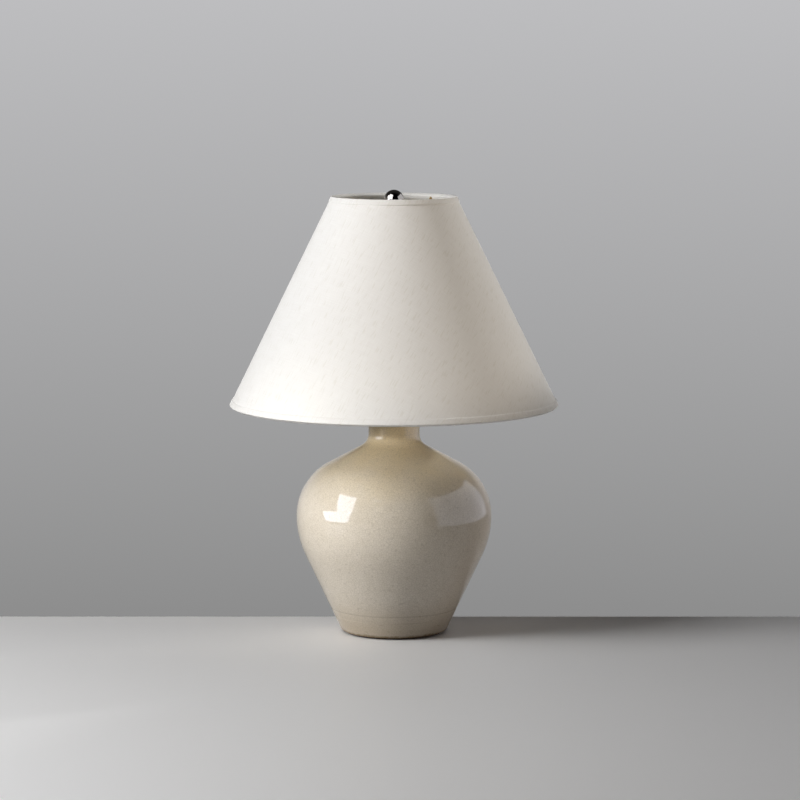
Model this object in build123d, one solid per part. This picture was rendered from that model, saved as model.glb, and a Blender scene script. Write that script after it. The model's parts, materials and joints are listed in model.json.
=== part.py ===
from build123d import *
from math import acos, atan2, cos, degrees, hypot, radians, sin, sqrt
import os

# A pottery table lamp: a glazed vase seated on its foot and a felt ring, a threaded pipe that clamps foot,
# vase and neck cap together and carries a harp and a lamp holder, and a conical linen shade that hangs
# from the harp's swivel stud.
# Millimetres, +Z up. The origin lies on the table on the lamp's upright axis, and -Y is the front.

# Vase, outside
FELT_THICKNESS = 2.0
FOOT_RADIUS = 65.5
FOOT_ROUNDING = 3.0
BELLY_RADIUS = 121.0
BELLY_HEIGHT = 145.0
LOWER_BELLY_RADIUS = 113.0
UPPER_BELLY_RADIUS = 74.0
SHOULDER_PITCH = 28.4
NECK_RADIUS = 31.6
NECK_FILLET = 16.0
VASE_TOP = 285.0

# Vase, inside and below
VASE_WALL = 7.0
RIM_ROUNDING = 2.2
FLOOR_THICKNESS = 9.0
RECESS_RADIUS = 50.0
RECESS_DEPTH = 22.0
FELT_INSET = 4.5
FELT_WIDTH = 10.0
SEAM_HEIGHT = 22.0
SEAM_ROUNDING = 0.6
SEAM_CLEARANCE = 0.06

# Grommet in the foot, at the back, where the mains cord comes in
CORD_HEIGHT = 13.0
CORD_BORE_RADIUS = 3.6
GROMMET_WALL = 1.6
GROMMET_LIP = 2.8
GROMMET_LIP_THICKNESS = 1.6
GROMMET_CLEARANCE = 0.15

# Pipe and the hardware that clamps the vase on it
PIPE_RADIUS = 4.8
PIPE_BORE_RADIUS = 3.4
PIPE_CLEARANCE = 0.25
PIPE_TAIL = 3.0
BASE_WASHER_RADIUS = 22.0
BASE_WASHER_THICKNESS = 1.8
LOCK_WASHER_RADIUS = 9.5
LOCK_WASHER_THICKNESS = 0.9
LOCK_WASHER_TEETH = 10
LOCK_WASHER_TOOTH = 1.8
BASE_NUT_FLATS = 16.0
BASE_NUT_HEIGHT = 5.0
NUT_CHAMFER = 0.8

# Neck cap and the ring on it
GASKET_THICKNESS = 1.5
GASKET_MARGIN = 0.6
CAP_THICKNESS = 1.0
CAP_SKIRT = 5.0
CAP_CLEARANCE = 0.5
CAP_RISE = 4.0
CAP_CROWN_RADIUS = 13.0
CAP_FLAT = 8.0
CAP_EDGE_ROUNDING = 0.9
CHECK_RING_RADIUS = 10.0
CHECK_RING_HEIGHT = 5.0

# Harp and its saddle
SADDLE_THICKNESS = 2.0
SADDLE_WIDTH = 11.0
SADDLE_DISC_RADIUS = 11.0
SADDLE_BEND = 3.0
SADDLE_STRAP = 10.0
HARP_HALF_FOOT = 28.6
HARP_HALF_BOW = 57.0
HARP_HALF_TOP = 22.0
HARP_HEIGHT = 216.0
HARP_WIRE_RADIUS = 1.9
HARP_LEG = 60.0
HARP_FLARE = 40.0
HARP_SHOULDER = 50.0
HARP_BEND = 40.0
HARP_TOP_BEND = 22.0
LAP_LENGTH = 14.0
LAP_GAP = 0.2
FERRULE_HEIGHT = 13.0
FERRULE_WALL = 1.1
FERRULE_CLEARANCE = 0.1
PAD_MARGIN = 0.8
PAD_THICKNESS = 2.4

# Swivel stud at the top of the harp
STUD_SEAT_RADIUS = 9.5
STUD_SEAT_THICKNESS = 3.0
STUD_SHANK_RADIUS = 2.5
STUD_SHANK_CLEARANCE = 0.06
STUD_RIVET_RADIUS = 4.6
STUD_RIVET_THICKNESS = 1.6
STUD_END_PLAY = 0.2
STUD_THREAD_RADIUS = 3.1
STUD_LENGTH = 13.2
STUD_HOLE_CLEARANCE = 0.25

# Lamp holder with a turn switch
BOSS_RADIUS = 8.0
BOSS_HEIGHT = 7.0
CUP_FLARE = 6.0
CUP_RIM = 9.0
CUP_WALL = 0.9
HOLDER_RADIUS = 17.0
HOLDER_WALL = 0.7
HOLDER_HEIGHT = 50.0
HOLDER_LAP = 7.0
HOLDER_BEAD = 0.9
HOLDER_LINER_WALL = 0.8
HOLDER_CLEARANCE = 0.15
HOLDER_LINER_INSET = 1.0
CORE_HEIGHT = 20.0
CORE_INSET = 2.0
TERMINAL_FLAT = 11.3
TERMINAL_LEDGE = 3.0
TERMINAL_HEAD_RADIUS = 3.4
TERMINAL_HEAD_THICKNESS = 1.9
TERMINAL_SHANK_RADIUS = 1.7
TERMINAL_SHANK_LENGTH = 6.0
SLOT_DEPTH = 0.7
SLOT_WIDTH = 0.8
FASTENER_CLEARANCE = 0.1
SET_SCREW_RADIUS = 1.6
SET_SCREW_PROUD = 1.4
SCREW_SHELL_WALL = 0.5
CONTACT_WIDTH = 5.0
CONTACT_THICKNESS = 0.6
CONTACT_RISE = 2.6
CONTACT_TAIL = 9.0
CONTACT_HALF_RAMP = 3.0

# Turn switch
SWITCH_RISE = 8.0
SHAFT_RADIUS = 1.6
SHAFT_CLEARANCE = 0.05
SHAFT_INNER_END = 3.0
SHAFT_SLOT_CLEARANCE = 1.0
KNOB_GAP = 2.0
KNOB_RADIUS = 6.2
KNOB_LENGTH = 16.0
KNOB_COLLAR_RADIUS = 4.2
KNOB_COLLAR_LENGTH = 3.0
KNOB_FLUTES = 12
KNOB_FLUTE_RADIUS = 0.9
KNOB_END_ROUNDING = 1.2
KNOB_SOCKET = 10.0

# Bulb
BULB_LENGTH = 110.0
BULB_RADIUS = 30.0
BULB_NECK_RADIUS = 11.9
BULB_NECK_FILLET = 35.0
BULB_GLASS = 0.8
BULB_TIP_GAP = 0.3
BULB_TIP_RADIUS = 4.6
BULB_TIP_HEIGHT = 1.2
BULB_INSULATOR_HEIGHT = 3.8
BULB_BASE_CLEARANCE = 0.2
BULB_BASE_WALL = 0.4
BULB_COLLAR_HEIGHT = 4.0
BULB_NECK_LAP = 7.0
THREAD_PITCH = 3.63
THREAD_DEPTH = 0.32
THREAD_TURNS = 5
THREAD_CLEARANCE = 0.25
STEM_FLARE_THICKNESS = 1.5
STEM_RADIUS = 3.2
STEM_TAPER = 10.0
STEM_HEIGHT = 40.0
FILAMENT_WIRE_RADIUS = 0.4
FILAMENT_HALF_SPAN = 11.0
FILAMENT_RISE = 20.0
FILAMENT_BEND = 2.0
FILAMENT_HALF_FOOT = 1.6

# Shade
SHADE_BOTTOM_RADIUS = 201.3
SHADE_TOP_RADIUS = 76.0
SHADE_HEIGHT = 255.9
SHADE_LINER_THICKNESS = 0.7
SHADE_LINEN_THICKNESS = 0.8
SHADE_GLUE = 0.06
SHADE_RING_RADIUS = 1.6
TRIM_THICKNESS = 1.2
TRIM_HEIGHT = 7.0
TRIM_INNER_HEIGHT = 6.0
SEAM_LAP = 12.0
SEAM_ANGLE = 115.0

# Spider that carries the shade on the stud
SPIDER_DROP = 21.5
HUB_RADIUS = 13.0
HUB_THICKNESS = 3.4
ARM_RADIUS = 1.6
ARM_KNEE_RADIUS = 56.0
ARM_BEND = 12.0
ARM_PLACES = ("right", "left", "front")
FIRST_ARM_ANGLE = 51.0
ARM_SLIT_CLEARANCE = 0.3

# Finial
FINIAL_WASHER_RADIUS = 8.5
FINIAL_WASHER_THICKNESS = 0.8
FINIAL_BALL_RADIUS = 12.7
FINIAL_BALL_RISE = 17.0
FINIAL_BASE_RADIUS = 7.0
FINIAL_BASE_HEIGHT = 2.2
FINIAL_NECK_RADIUS = 5.4
FINIAL_BORE_CLEARANCE = 0.12
FINIAL_BORE_DEPTH = 11.5

# Heights that follow from the stack, from the table up
FOOT_Z = FELT_THICKNESS
RECESS_CEILING = FOOT_Z + RECESS_DEPTH
FLOOR_TOP = RECESS_CEILING + FLOOR_THICKNESS
BASE_WASHER_BOTTOM = RECESS_CEILING - BASE_WASHER_THICKNESS
LOCK_WASHER_BOTTOM = BASE_WASHER_BOTTOM - LOCK_WASHER_THICKNESS
BASE_NUT_BOTTOM = LOCK_WASHER_BOTTOM - BASE_NUT_HEIGHT
PIPE_BOTTOM = BASE_NUT_BOTTOM - PIPE_TAIL
GASKET_TOP = VASE_TOP + GASKET_THICKNESS
CAP_CROWN_TOP = GASKET_TOP + CAP_THICKNESS + CAP_RISE
SADDLE_BOTTOM = CAP_CROWN_TOP + CHECK_RING_HEIGHT
SADDLE_TOP = SADDLE_BOTTOM + SADDLE_THICKNESS
STRAP_TOP = SADDLE_TOP + SADDLE_STRAP
PIPE_TOP = SADDLE_TOP + BOSS_HEIGHT
CUP_TOP = SADDLE_TOP + BOSS_HEIGHT + CUP_FLARE + CUP_RIM
HOLDER_BOTTOM = CUP_TOP - HOLDER_LAP
CORE_BOTTOM = HOLDER_BOTTOM + CORE_INSET
CORE_TOP = CORE_BOTTOM + CORE_HEIGHT
SWITCH_HEIGHT = CUP_TOP + SWITCH_RISE
BULB_TIP = CORE_TOP + CONTACT_RISE + CONTACT_THICKNESS + BULB_TIP_GAP
STUD_SEAT_TOP = SADDLE_TOP + HARP_HEIGHT
PAD_TOP = STUD_SEAT_TOP - STUD_SEAT_THICKNESS
HARP_TOP = PAD_TOP - PAD_THICKNESS / 2
HUB_TOP = STUD_SEAT_TOP + HUB_THICKNESS
SHADE_TOP = HUB_TOP + SPIDER_DROP
SHADE_BOTTOM = SHADE_TOP - SHADE_HEIGHT
SHADE_SLANT = hypot(SHADE_BOTTOM_RADIUS - SHADE_TOP_RADIUS, SHADE_HEIGHT)
FINIAL_BOTTOM = HUB_TOP + FINIAL_WASHER_THICKNESS

# Radii that follow from a fit
PIPE_HOLE_RADIUS = PIPE_RADIUS + PIPE_CLEARANCE
PAD_RADIUS = STUD_SEAT_RADIUS + PAD_MARGIN
STUD_HOLE_RADIUS = STUD_THREAD_RADIUS + STUD_HOLE_CLEARANCE
HOLDER_LINER_RADIUS = HOLDER_RADIUS - HOLDER_WALL - HOLDER_CLEARANCE
CORE_RADIUS = HOLDER_LINER_RADIUS - HOLDER_LINER_WALL - HOLDER_CLEARANCE
BULB_BASE_BORE = BULB_NECK_RADIUS + BULB_BASE_CLEARANCE
BULB_BASE_RADIUS = BULB_BASE_BORE + BULB_BASE_WALL + 2 * THREAD_DEPTH
THREAD_LENGTH = THREAD_PITCH * THREAD_TURNS

STANDING = (Align.CENTER, Align.CENTER, Align.MIN)


def turned(*outline):
    """A solid turned about the lamp's axis from a closed outline of (radius, height)."""
    return revolve(Plane.XZ * make_face(outline), Axis.Z)


def rod(radius, low, high):
    """An upright cylinder on the lamp's axis."""
    return Pos(0, 0, low) * Cylinder(radius, high - low, align=STANDING)


def tube(inner, outer, low, high):
    """An upright ring on the lamp's axis."""
    return rod(outer, low, high) - rod(inner, low, high)


def pointing(direction, start, radius, length):
    """A cylinder that begins at start and runs along direction."""
    return Plane(start, z_dir=direction) * Cylinder(radius, length, align=STANDING)


def polar(centre, radius, angle):
    """The point at an angle in degrees on a circle."""
    return (centre[0] + radius * cos(radians(angle)), centre[1] + radius * sin(radians(angle)))


def vase_form(inset, low, high):
    """The vase's turned form from height low to high, its outline moved in by inset.

    A straight wall leaves the foot and runs tangent into the belly's lower arc. The upper arc runs into
    a straight shoulder, and a hollow fillet joins the shoulder to the upright neck."""
    lower_centre = (BELLY_RADIUS - LOWER_BELLY_RADIUS, BELLY_HEIGHT)
    upper_centre = (BELLY_RADIUS - UPPER_BELLY_RADIUS, BELLY_HEIGHT)
    lower_arc = LOWER_BELLY_RADIUS - inset
    upper_arc = UPPER_BELLY_RADIUS - inset
    to_foot = (FOOT_RADIUS - lower_centre[0], FOOT_Z - lower_centre[1])
    wall_angle = degrees(atan2(to_foot[1], to_foot[0]) + acos(LOWER_BELLY_RADIUS / hypot(*to_foot)))
    wall_top = polar(lower_centre, lower_arc, wall_angle)
    wall_drop = (wall_top[1] - low) / cos(radians(wall_angle))
    wall_foot = (wall_top[0] + wall_drop * sin(radians(wall_angle)), low)
    shoulder_angle = 90 - SHOULDER_PITCH
    shoulder_start = polar(upper_centre, upper_arc, shoulder_angle)
    outer_start = polar(upper_centre, UPPER_BELLY_RADIUS, shoulder_angle)
    fillet_x = NECK_RADIUS + NECK_FILLET
    fillet_run = NECK_FILLET - (fillet_x - outer_start[0]) * cos(radians(shoulder_angle))
    fillet_centre = (fillet_x, outer_start[1] + fillet_run / sin(radians(shoulder_angle)))
    fillet_radius = NECK_FILLET + inset
    shoulder_end = polar(fillet_centre, -fillet_radius, shoulder_angle)
    neck_start = (fillet_centre[0] - fillet_radius, fillet_centre[1])
    neck_end = (neck_start[0], high)
    return turned(
        Line((0, low), wall_foot),
        Line(wall_foot, wall_top),
        CenterArc(lower_centre, lower_arc, wall_angle, -wall_angle),
        CenterArc(upper_centre, upper_arc, 0, shoulder_angle),
        Line(shoulder_start, shoulder_end),
        CenterArc(fillet_centre, fillet_radius, 180 + shoulder_angle, -shoulder_angle),
        Line(neck_start, neck_end),
        Line(neck_end, (0, high)),
        Line((0, high), (0, low)),
    )


def cord_rod(radius):
    """A rod along the cord's way out at the back, from the lamp's axis to beyond the belly."""
    return pointing((0, 1, 0), (0, 0, CORD_HEIGHT), radius, BELLY_RADIUS)


def vase_body():
    """The hollow vase, open below, where it is seated on the foot."""
    vase = vase_form(0, SEAM_HEIGHT, VASE_TOP)
    seam_edge = vase.edges().filter_by(GeomType.CIRCLE).sort_by(Axis.Z)[0]
    vase = fillet(seam_edge, SEAM_ROUNDING)
    vase -= vase_form(VASE_WALL, SEAM_HEIGHT, VASE_TOP)
    return fillet(vase.edges().group_by(Axis.Z)[-1], RIM_ROUNDING)


def vase_foot():
    """The foot: it carries the vase on a ledge and fills its lower end with the floor. Below the floor is a
    recess, and a hole at the back lets the cord in."""
    whole = vase_form(0, FOOT_Z, VASE_TOP)
    foot_edge = whole.edges().filter_by(GeomType.CIRCLE).sort_by(Axis.Z)[0]
    foot = fillet(foot_edge, FOOT_ROUNDING) & rod(BELLY_RADIUS, FOOT_Z, SEAM_HEIGHT)
    seam_edge = foot.edges().group_by(Axis.Z)[-1]
    foot = fillet(seam_edge, SEAM_ROUNDING)
    plug = vase_form(VASE_WALL + SEAM_CLEARANCE, SEAM_HEIGHT, VASE_TOP)
    foot += plug & rod(BELLY_RADIUS, SEAM_HEIGHT, FLOOR_TOP)
    foot -= rod(RECESS_RADIUS, FOOT_Z, RECESS_CEILING)
    foot -= rod(PIPE_HOLE_RADIUS, RECESS_CEILING, FLOOR_TOP)
    return foot - cord_rod(CORD_BORE_RADIUS + GROMMET_WALL + GROMMET_CLEARANCE)


def base_felt():
    """The felt ring glued under the foot."""
    outer = FOOT_RADIUS - FELT_INSET
    return tube(outer - FELT_WIDTH, outer, 0, FELT_THICKNESS)


def cord_grommet():
    """The rubber grommet in the foot's wall: a sleeve with a lip against each face of the wall."""
    inner_face = RECESS_RADIUS - GROMMET_CLEARANCE
    whole = vase_form(-GROMMET_CLEARANCE - GROMMET_LIP_THICKNESS, FOOT_Z, BELLY_HEIGHT / 2)
    wall = vase_form(-GROMMET_CLEARANCE, FOOT_Z, BELLY_HEIGHT / 2)
    wall -= rod(inner_face, FOOT_Z, BELLY_HEIGHT / 2)
    whole -= rod(inner_face - GROMMET_LIP_THICKNESS, FOOT_Z, BELLY_HEIGHT / 2)
    sleeve_radius = CORD_BORE_RADIUS + GROMMET_WALL
    lips = (whole - wall) & cord_rod(sleeve_radius + GROMMET_LIP)
    sleeve = whole & cord_rod(sleeve_radius)
    return lips + sleeve - cord_rod(CORD_BORE_RADIUS)


def lamp_pipe():
    """The threaded pipe from under the floor up into the lamp holder's cap."""
    return tube(PIPE_BORE_RADIUS, PIPE_RADIUS, PIPE_BOTTOM, PIPE_TOP)


def base_washer():
    """The wide washer against the recess's ceiling."""
    return tube(PIPE_HOLE_RADIUS, BASE_WASHER_RADIUS, BASE_WASHER_BOTTOM, RECESS_CEILING)


def base_lock_washer():
    """The toothed lock washer between the wide washer and the nut."""
    washer = tube(PIPE_HOLE_RADIUS, LOCK_WASHER_RADIUS, LOCK_WASHER_BOTTOM, BASE_WASHER_BOTTOM)
    gap = Pos(LOCK_WASHER_RADIUS, 0, LOCK_WASHER_BOTTOM) * Box(
        2 * LOCK_WASHER_TOOTH, LOCK_WASHER_TOOTH, 2 * LOCK_WASHER_THICKNESS
    )
    for tooth in range(LOCK_WASHER_TEETH):
        washer -= Rot(0, 0, tooth * 360 / LOCK_WASHER_TEETH) * gap
    return washer


def base_hex_nut():
    """The hexagon nut that draws the pipe down."""
    hexagon = RegularPolygon(BASE_NUT_FLATS / 2, 6, major_radius=False)
    nut = Pos(0, 0, BASE_NUT_BOTTOM) * extrude(hexagon, BASE_NUT_HEIGHT)
    corner = BASE_NUT_FLATS / sqrt(3)
    cone_rise = corner - BASE_NUT_FLATS / 2
    blank = turned(
        Polyline(
            (0, BASE_NUT_BOTTOM),
            (corner - NUT_CHAMFER, BASE_NUT_BOTTOM),
            (corner, BASE_NUT_BOTTOM + cone_rise / 2),
            (corner, LOCK_WASHER_BOTTOM),
            (0, LOCK_WASHER_BOTTOM),
            close=True,
        )
    )
    return (nut & blank) - rod(PIPE_HOLE_RADIUS, BASE_NUT_BOTTOM, LOCK_WASHER_BOTTOM)


def neck_gasket():
    """The rubber ring between the vase's rim and the cap."""
    inner = NECK_RADIUS - VASE_WALL + GASKET_MARGIN
    return tube(inner, NECK_RADIUS - GASKET_MARGIN, VASE_TOP, GASKET_TOP)


def neck_cap():
    """The spun cap over the neck: a skirt, a flat on the gasket and a raised crown."""
    skirt_inner = NECK_RADIUS + CAP_CLEARANCE
    skirt_outer = skirt_inner + CAP_THICKNESS
    slope_foot = NECK_RADIUS - CAP_FLAT
    plate_top = GASKET_TOP + CAP_THICKNESS
    cap = turned(
        Polyline(
            (PIPE_HOLE_RADIUS, CAP_CROWN_TOP),
            (CAP_CROWN_RADIUS, CAP_CROWN_TOP),
            (slope_foot, plate_top),
            (skirt_outer, plate_top),
            (skirt_outer, VASE_TOP - CAP_SKIRT),
            (skirt_inner, VASE_TOP - CAP_SKIRT),
            (skirt_inner, GASKET_TOP),
            (slope_foot, GASKET_TOP),
            (CAP_CROWN_RADIUS, CAP_CROWN_TOP - CAP_THICKNESS),
            (PIPE_HOLE_RADIUS, CAP_CROWN_TOP - CAP_THICKNESS),
            close=True,
        )
    )
    outer_edge = cap.edges().sort_by_distance((skirt_outer, 0, plate_top))[0]
    return fillet(outer_edge, CAP_EDGE_ROUNDING)


def check_ring():
    """The rounded ring that stands the saddle off the cap."""
    barrel = CHECK_RING_HEIGHT / 2
    waist = CHECK_RING_RADIUS - barrel
    middle = CAP_CROWN_TOP + barrel
    return turned(
        Line((PIPE_HOLE_RADIUS, CAP_CROWN_TOP), (waist, CAP_CROWN_TOP)),
        CenterArc((waist, middle), barrel, -90, 180),
        Line((waist, SADDLE_BOTTOM), (PIPE_HOLE_RADIUS, SADDLE_BOTTOM)),
        Line((PIPE_HOLE_RADIUS, SADDLE_BOTTOM), (PIPE_HOLE_RADIUS, CAP_CROWN_TOP)),
    )


def half_round(flat_x, side, low, high):
    """The half of a harp leg on one side of the upright plane at flat_x."""
    whole = Pos(HARP_HALF_FOOT, 0, 0) * rod(HARP_WIRE_RADIUS, low, high)
    reach = 2 * HARP_WIRE_RADIUS
    keep = Pos(flat_x + side * reach, 0, (low + high) / 2) * Box(2 * reach, 2 * reach, high - low)
    return whole & keep


def both_sides(shape):
    """A shape on the right, with its mirror image on the left."""
    return shape + mirror(shape, Plane.YZ)


def harp_saddle():
    """The bent strap under the lamp holder, with a half-round prong at each end for the harp."""
    outer_x = HARP_HALF_FOOT + LAP_GAP / 2
    inner_x = outer_x - SADDLE_THICKNESS
    strap = make_face(
        Polyline(
            (-outer_x, STRAP_TOP),
            (-outer_x, SADDLE_BOTTOM),
            (outer_x, SADDLE_BOTTOM),
            (outer_x, STRAP_TOP),
            (inner_x, STRAP_TOP),
            (inner_x, SADDLE_TOP),
            (-inner_x, SADDLE_TOP),
            (-inner_x, STRAP_TOP),
            close=True,
        )
    )
    levels = strap.vertices().group_by(Axis.Y)
    strap = fillet(levels[1], SADDLE_BEND)
    levels = strap.vertices().group_by(Axis.Y)
    strap = fillet(levels[0], SADDLE_BEND + SADDLE_THICKNESS)
    saddle = extrude(Plane.XZ * strap, SADDLE_WIDTH / 2, both=True)
    saddle += rod(SADDLE_DISC_RADIUS, SADDLE_BOTTOM, SADDLE_TOP)
    saddle += both_sides(half_round(HARP_HALF_FOOT - LAP_GAP / 2, -1, STRAP_TOP, STRAP_TOP + LAP_LENGTH))
    return saddle - rod(PIPE_HOLE_RADIUS, SADDLE_BOTTOM, SADDLE_TOP)


def harp_frame():
    """The harp: one bent wire with half-round feet, and a flattened pad for the stud at its top."""
    lap_top = STRAP_TOP + LAP_LENGTH + LAP_GAP
    right = [
        (HARP_HALF_TOP, HARP_TOP),
        (HARP_HALF_BOW, HARP_TOP - HARP_SHOULDER),
        (HARP_HALF_BOW, SADDLE_TOP + HARP_LEG + HARP_FLARE),
        (HARP_HALF_FOOT, SADDLE_TOP + HARP_LEG),
        (HARP_HALF_FOOT, lap_top),
    ]
    left = [(-x, z) for x, z in reversed(right)]
    bends = [HARP_BEND, HARP_BEND, HARP_BEND, HARP_TOP_BEND]
    path = Plane.XZ * FilletPolyline(*left, *right, radius=bends + bends[::-1])
    harp = sweep(Plane(path @ 0, z_dir=path % 0) * Circle(HARP_WIRE_RADIUS), path)
    harp += both_sides(half_round(HARP_HALF_FOOT + LAP_GAP / 2, 1, STRAP_TOP + LAP_GAP, lap_top))
    harp -= rod(PAD_RADIUS, HARP_TOP - HARP_WIRE_RADIUS, HARP_TOP + HARP_WIRE_RADIUS)
    harp += rod(PAD_RADIUS, PAD_TOP - PAD_THICKNESS, PAD_TOP)
    shank_hole = STUD_SHANK_RADIUS + STUD_SHANK_CLEARANCE
    return harp - rod(shank_hole, PAD_TOP - PAD_THICKNESS, PAD_TOP)


def harp_ferrule(side):
    """The sleeve that slides down over a harp leg and its prong."""
    bore = HARP_WIRE_RADIUS + FERRULE_CLEARANCE
    sleeve = tube(bore, bore + FERRULE_WALL, STRAP_TOP, STRAP_TOP + FERRULE_HEIGHT)
    return Pos(side * HARP_HALF_FOOT, 0, 0) * sleeve


def harp_stud():
    """The swivel stud riveted in the harp's pad: rivet head, shank, seat and thread."""
    rivet_top = PAD_TOP - PAD_THICKNESS - STUD_END_PLAY
    stud = rod(STUD_RIVET_RADIUS, rivet_top - STUD_RIVET_THICKNESS, rivet_top)
    stud += rod(STUD_SHANK_RADIUS, rivet_top, PAD_TOP)
    stud += rod(STUD_SEAT_RADIUS, PAD_TOP, STUD_SEAT_TOP)
    return stud + rod(STUD_THREAD_RADIUS, STUD_SEAT_TOP, STUD_SEAT_TOP + STUD_LENGTH)


def socket_cap():
    """The lamp holder's cap: a boss screwed on the pipe, a flare and a rim round the shell."""
    bore = PIPE_RADIUS + FASTENER_CLEARANCE
    rim_inner = HOLDER_RADIUS + HOLDER_CLEARANCE
    rim_outer = rim_inner + CUP_WALL
    flare_foot = SADDLE_TOP + BOSS_HEIGHT
    flare_top = flare_foot + CUP_FLARE
    cap = turned(
        Polyline(
            (bore, SADDLE_TOP),
            (BOSS_RADIUS, SADDLE_TOP),
            (BOSS_RADIUS, flare_foot - CUP_WALL),
            (rim_outer, flare_top - CUP_WALL),
            (rim_outer, CUP_TOP),
            (rim_inner, CUP_TOP),
            (rim_inner, flare_top),
            (BOSS_RADIUS, flare_foot),
            (bore, flare_foot),
            close=True,
        )
    )
    return cap - set_screw_rod(SET_SCREW_RADIUS + FASTENER_CLEARANCE, BOSS_RADIUS + CUP_WALL)


def set_screw_rod(radius, end):
    """A rod along the set screw's axis, from the pipe's surface out to the back."""
    start = PIPE_RADIUS + FASTENER_CLEARANCE
    height = SADDLE_TOP + (BOSS_HEIGHT - CUP_WALL) / 2
    return pointing((0, 1, 0), (0, start, height), radius, end - start)


def socket_set_screw():
    """The slotted set screw in the boss that locks the cap on the pipe."""
    end = BOSS_RADIUS + SET_SCREW_PROUD
    height = SADDLE_TOP + (BOSS_HEIGHT - CUP_WALL) / 2
    slot = Pos(0, end, height) * Box(2 * SET_SCREW_RADIUS, 2 * SLOT_DEPTH, SLOT_WIDTH)
    return set_screw_rod(SET_SCREW_RADIUS, end) - slot


def switch_slot():
    """The slot at the front, open at the bottom, that lets the switch shaft into a tube."""
    half = SHAFT_RADIUS + SHAFT_SLOT_CLEARANCE
    middle = (HOLDER_BOTTOM + SWITCH_HEIGHT) / 2
    length = SWITCH_HEIGHT - HOLDER_BOTTOM
    straight = Pos(0, -HOLDER_RADIUS, middle) * Box(2 * half, 2 * BOSS_RADIUS, length)
    return straight + pointing((0, -1, 0), (0, -HOLDER_RADIUS / 2, SWITCH_HEIGHT), half, HOLDER_RADIUS)


def socket_shell():
    """The lamp holder's metal shell, with a rolled bead at its mouth."""
    top = HOLDER_BOTTOM + HOLDER_HEIGHT
    shell = tube(HOLDER_RADIUS - HOLDER_WALL, HOLDER_RADIUS, HOLDER_BOTTOM, top)
    shell += Pos(0, 0, top - HOLDER_BEAD) * Torus(HOLDER_RADIUS, HOLDER_BEAD)
    shell -= rod(HOLDER_RADIUS - HOLDER_WALL, HOLDER_BOTTOM, top)
    return shell - switch_slot()


def socket_liner():
    """The card tube that insulates the shell from the live core."""
    low = HOLDER_BOTTOM + HOLDER_LINER_INSET
    high = HOLDER_BOTTOM + HOLDER_HEIGHT - HOLDER_LINER_INSET
    inner = HOLDER_LINER_RADIUS - HOLDER_LINER_WALL
    return tube(inner, HOLDER_LINER_RADIUS, low, high) - switch_slot()


def terminal_height():
    """The height of the terminal screws' axis on the core."""
    return (CORE_BOTTOM + CORE_TOP - TERMINAL_LEDGE) / 2


def terminal_rod(radius, start, length):
    """A rod along the right-hand terminal screw's axis."""
    return pointing((1, 0, 0), (start, 0, terminal_height()), radius, length)


def socket_core():
    """The moulded core: flats for the terminal screws and a blind hole for the switch shaft."""
    core = rod(CORE_RADIUS, CORE_BOTTOM, CORE_TOP)
    flat_height = CORE_HEIGHT - TERMINAL_LEDGE
    flat = Pos(TERMINAL_FLAT + CORE_RADIUS / 2, 0, CORE_BOTTOM + flat_height / 2) * Box(
        CORE_RADIUS, 2 * CORE_RADIUS, flat_height
    )
    hole_start = TERMINAL_FLAT - TERMINAL_SHANK_LENGTH
    hole = terminal_rod(TERMINAL_SHANK_RADIUS + FASTENER_CLEARANCE, hole_start, TERMINAL_SHANK_LENGTH)
    core -= both_sides(flat + hole)
    shaft_hole = SHAFT_RADIUS + SHAFT_CLEARANCE
    return core - pointing((0, -1, 0), (0, -SHAFT_INNER_END, SWITCH_HEIGHT), shaft_hole, CORE_RADIUS)


def terminal_screws():
    """The two slotted terminal screws, one on each flat of the core."""
    shank_end = TERMINAL_FLAT - TERMINAL_SHANK_LENGTH
    shank = terminal_rod(TERMINAL_SHANK_RADIUS, shank_end, TERMINAL_SHANK_LENGTH)
    head = terminal_rod(TERMINAL_HEAD_RADIUS, TERMINAL_FLAT, TERMINAL_HEAD_THICKNESS)
    slot_x = TERMINAL_FLAT + TERMINAL_HEAD_THICKNESS
    slot = Pos(slot_x, 0, terminal_height()) * Box(2 * SLOT_DEPTH, 2 * TERMINAL_HEAD_RADIUS, SLOT_WIDTH)
    screw = shank + head - slot
    return Compound(children=[*screw.solids(), *mirror(screw, Plane.YZ).solids()])


def rolled_thread(radius, low):
    """The wavy edge of a rolled lamp thread, from height low up."""
    half = THREAD_PITCH / 2
    waves = []
    for turn in range(THREAD_TURNS):
        foot = low + turn * THREAD_PITCH
        middle = foot + half
        crest = (radius + THREAD_DEPTH, foot + half / 2)
        root = (radius - THREAD_DEPTH, middle + half / 2)
        waves.append(ThreePointArc((radius, foot), crest, (radius, middle)))
        waves.append(ThreePointArc((radius, middle), root, (radius, foot + THREAD_PITCH)))
    return waves


def socket_screw_shell():
    """The threaded contact shell that stands on the core and takes the bulb's base."""
    mean = BULB_BASE_RADIUS + THREAD_CLEARANCE + THREAD_DEPTH
    outer = mean + THREAD_DEPTH + SCREW_SHELL_WALL
    top = CORE_TOP + THREAD_LENGTH
    return turned(
        *rolled_thread(mean, CORE_TOP),
        Line((mean, top), (outer, top)),
        Line((outer, top), (outer, CORE_TOP)),
        Line((outer, CORE_TOP), (mean, CORE_TOP)),
    )


def socket_centre_contact():
    """The sprung tongue on the core that meets the bulb's tip."""
    ramp = CONTACT_HALF_RAMP
    line = [(-CONTACT_TAIL, 0), (-ramp, 0), (ramp, CONTACT_RISE), (2 * ramp, CONTACT_RISE)]
    lower = [(x, CORE_TOP + rise) for x, rise in line]
    upper = [(x, z + CONTACT_THICKNESS) for x, z in reversed(lower)]
    return extrude(Plane.XZ * make_face(Polyline(*lower, *upper, close=True)), CONTACT_WIDTH / 2, both=True)


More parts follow.
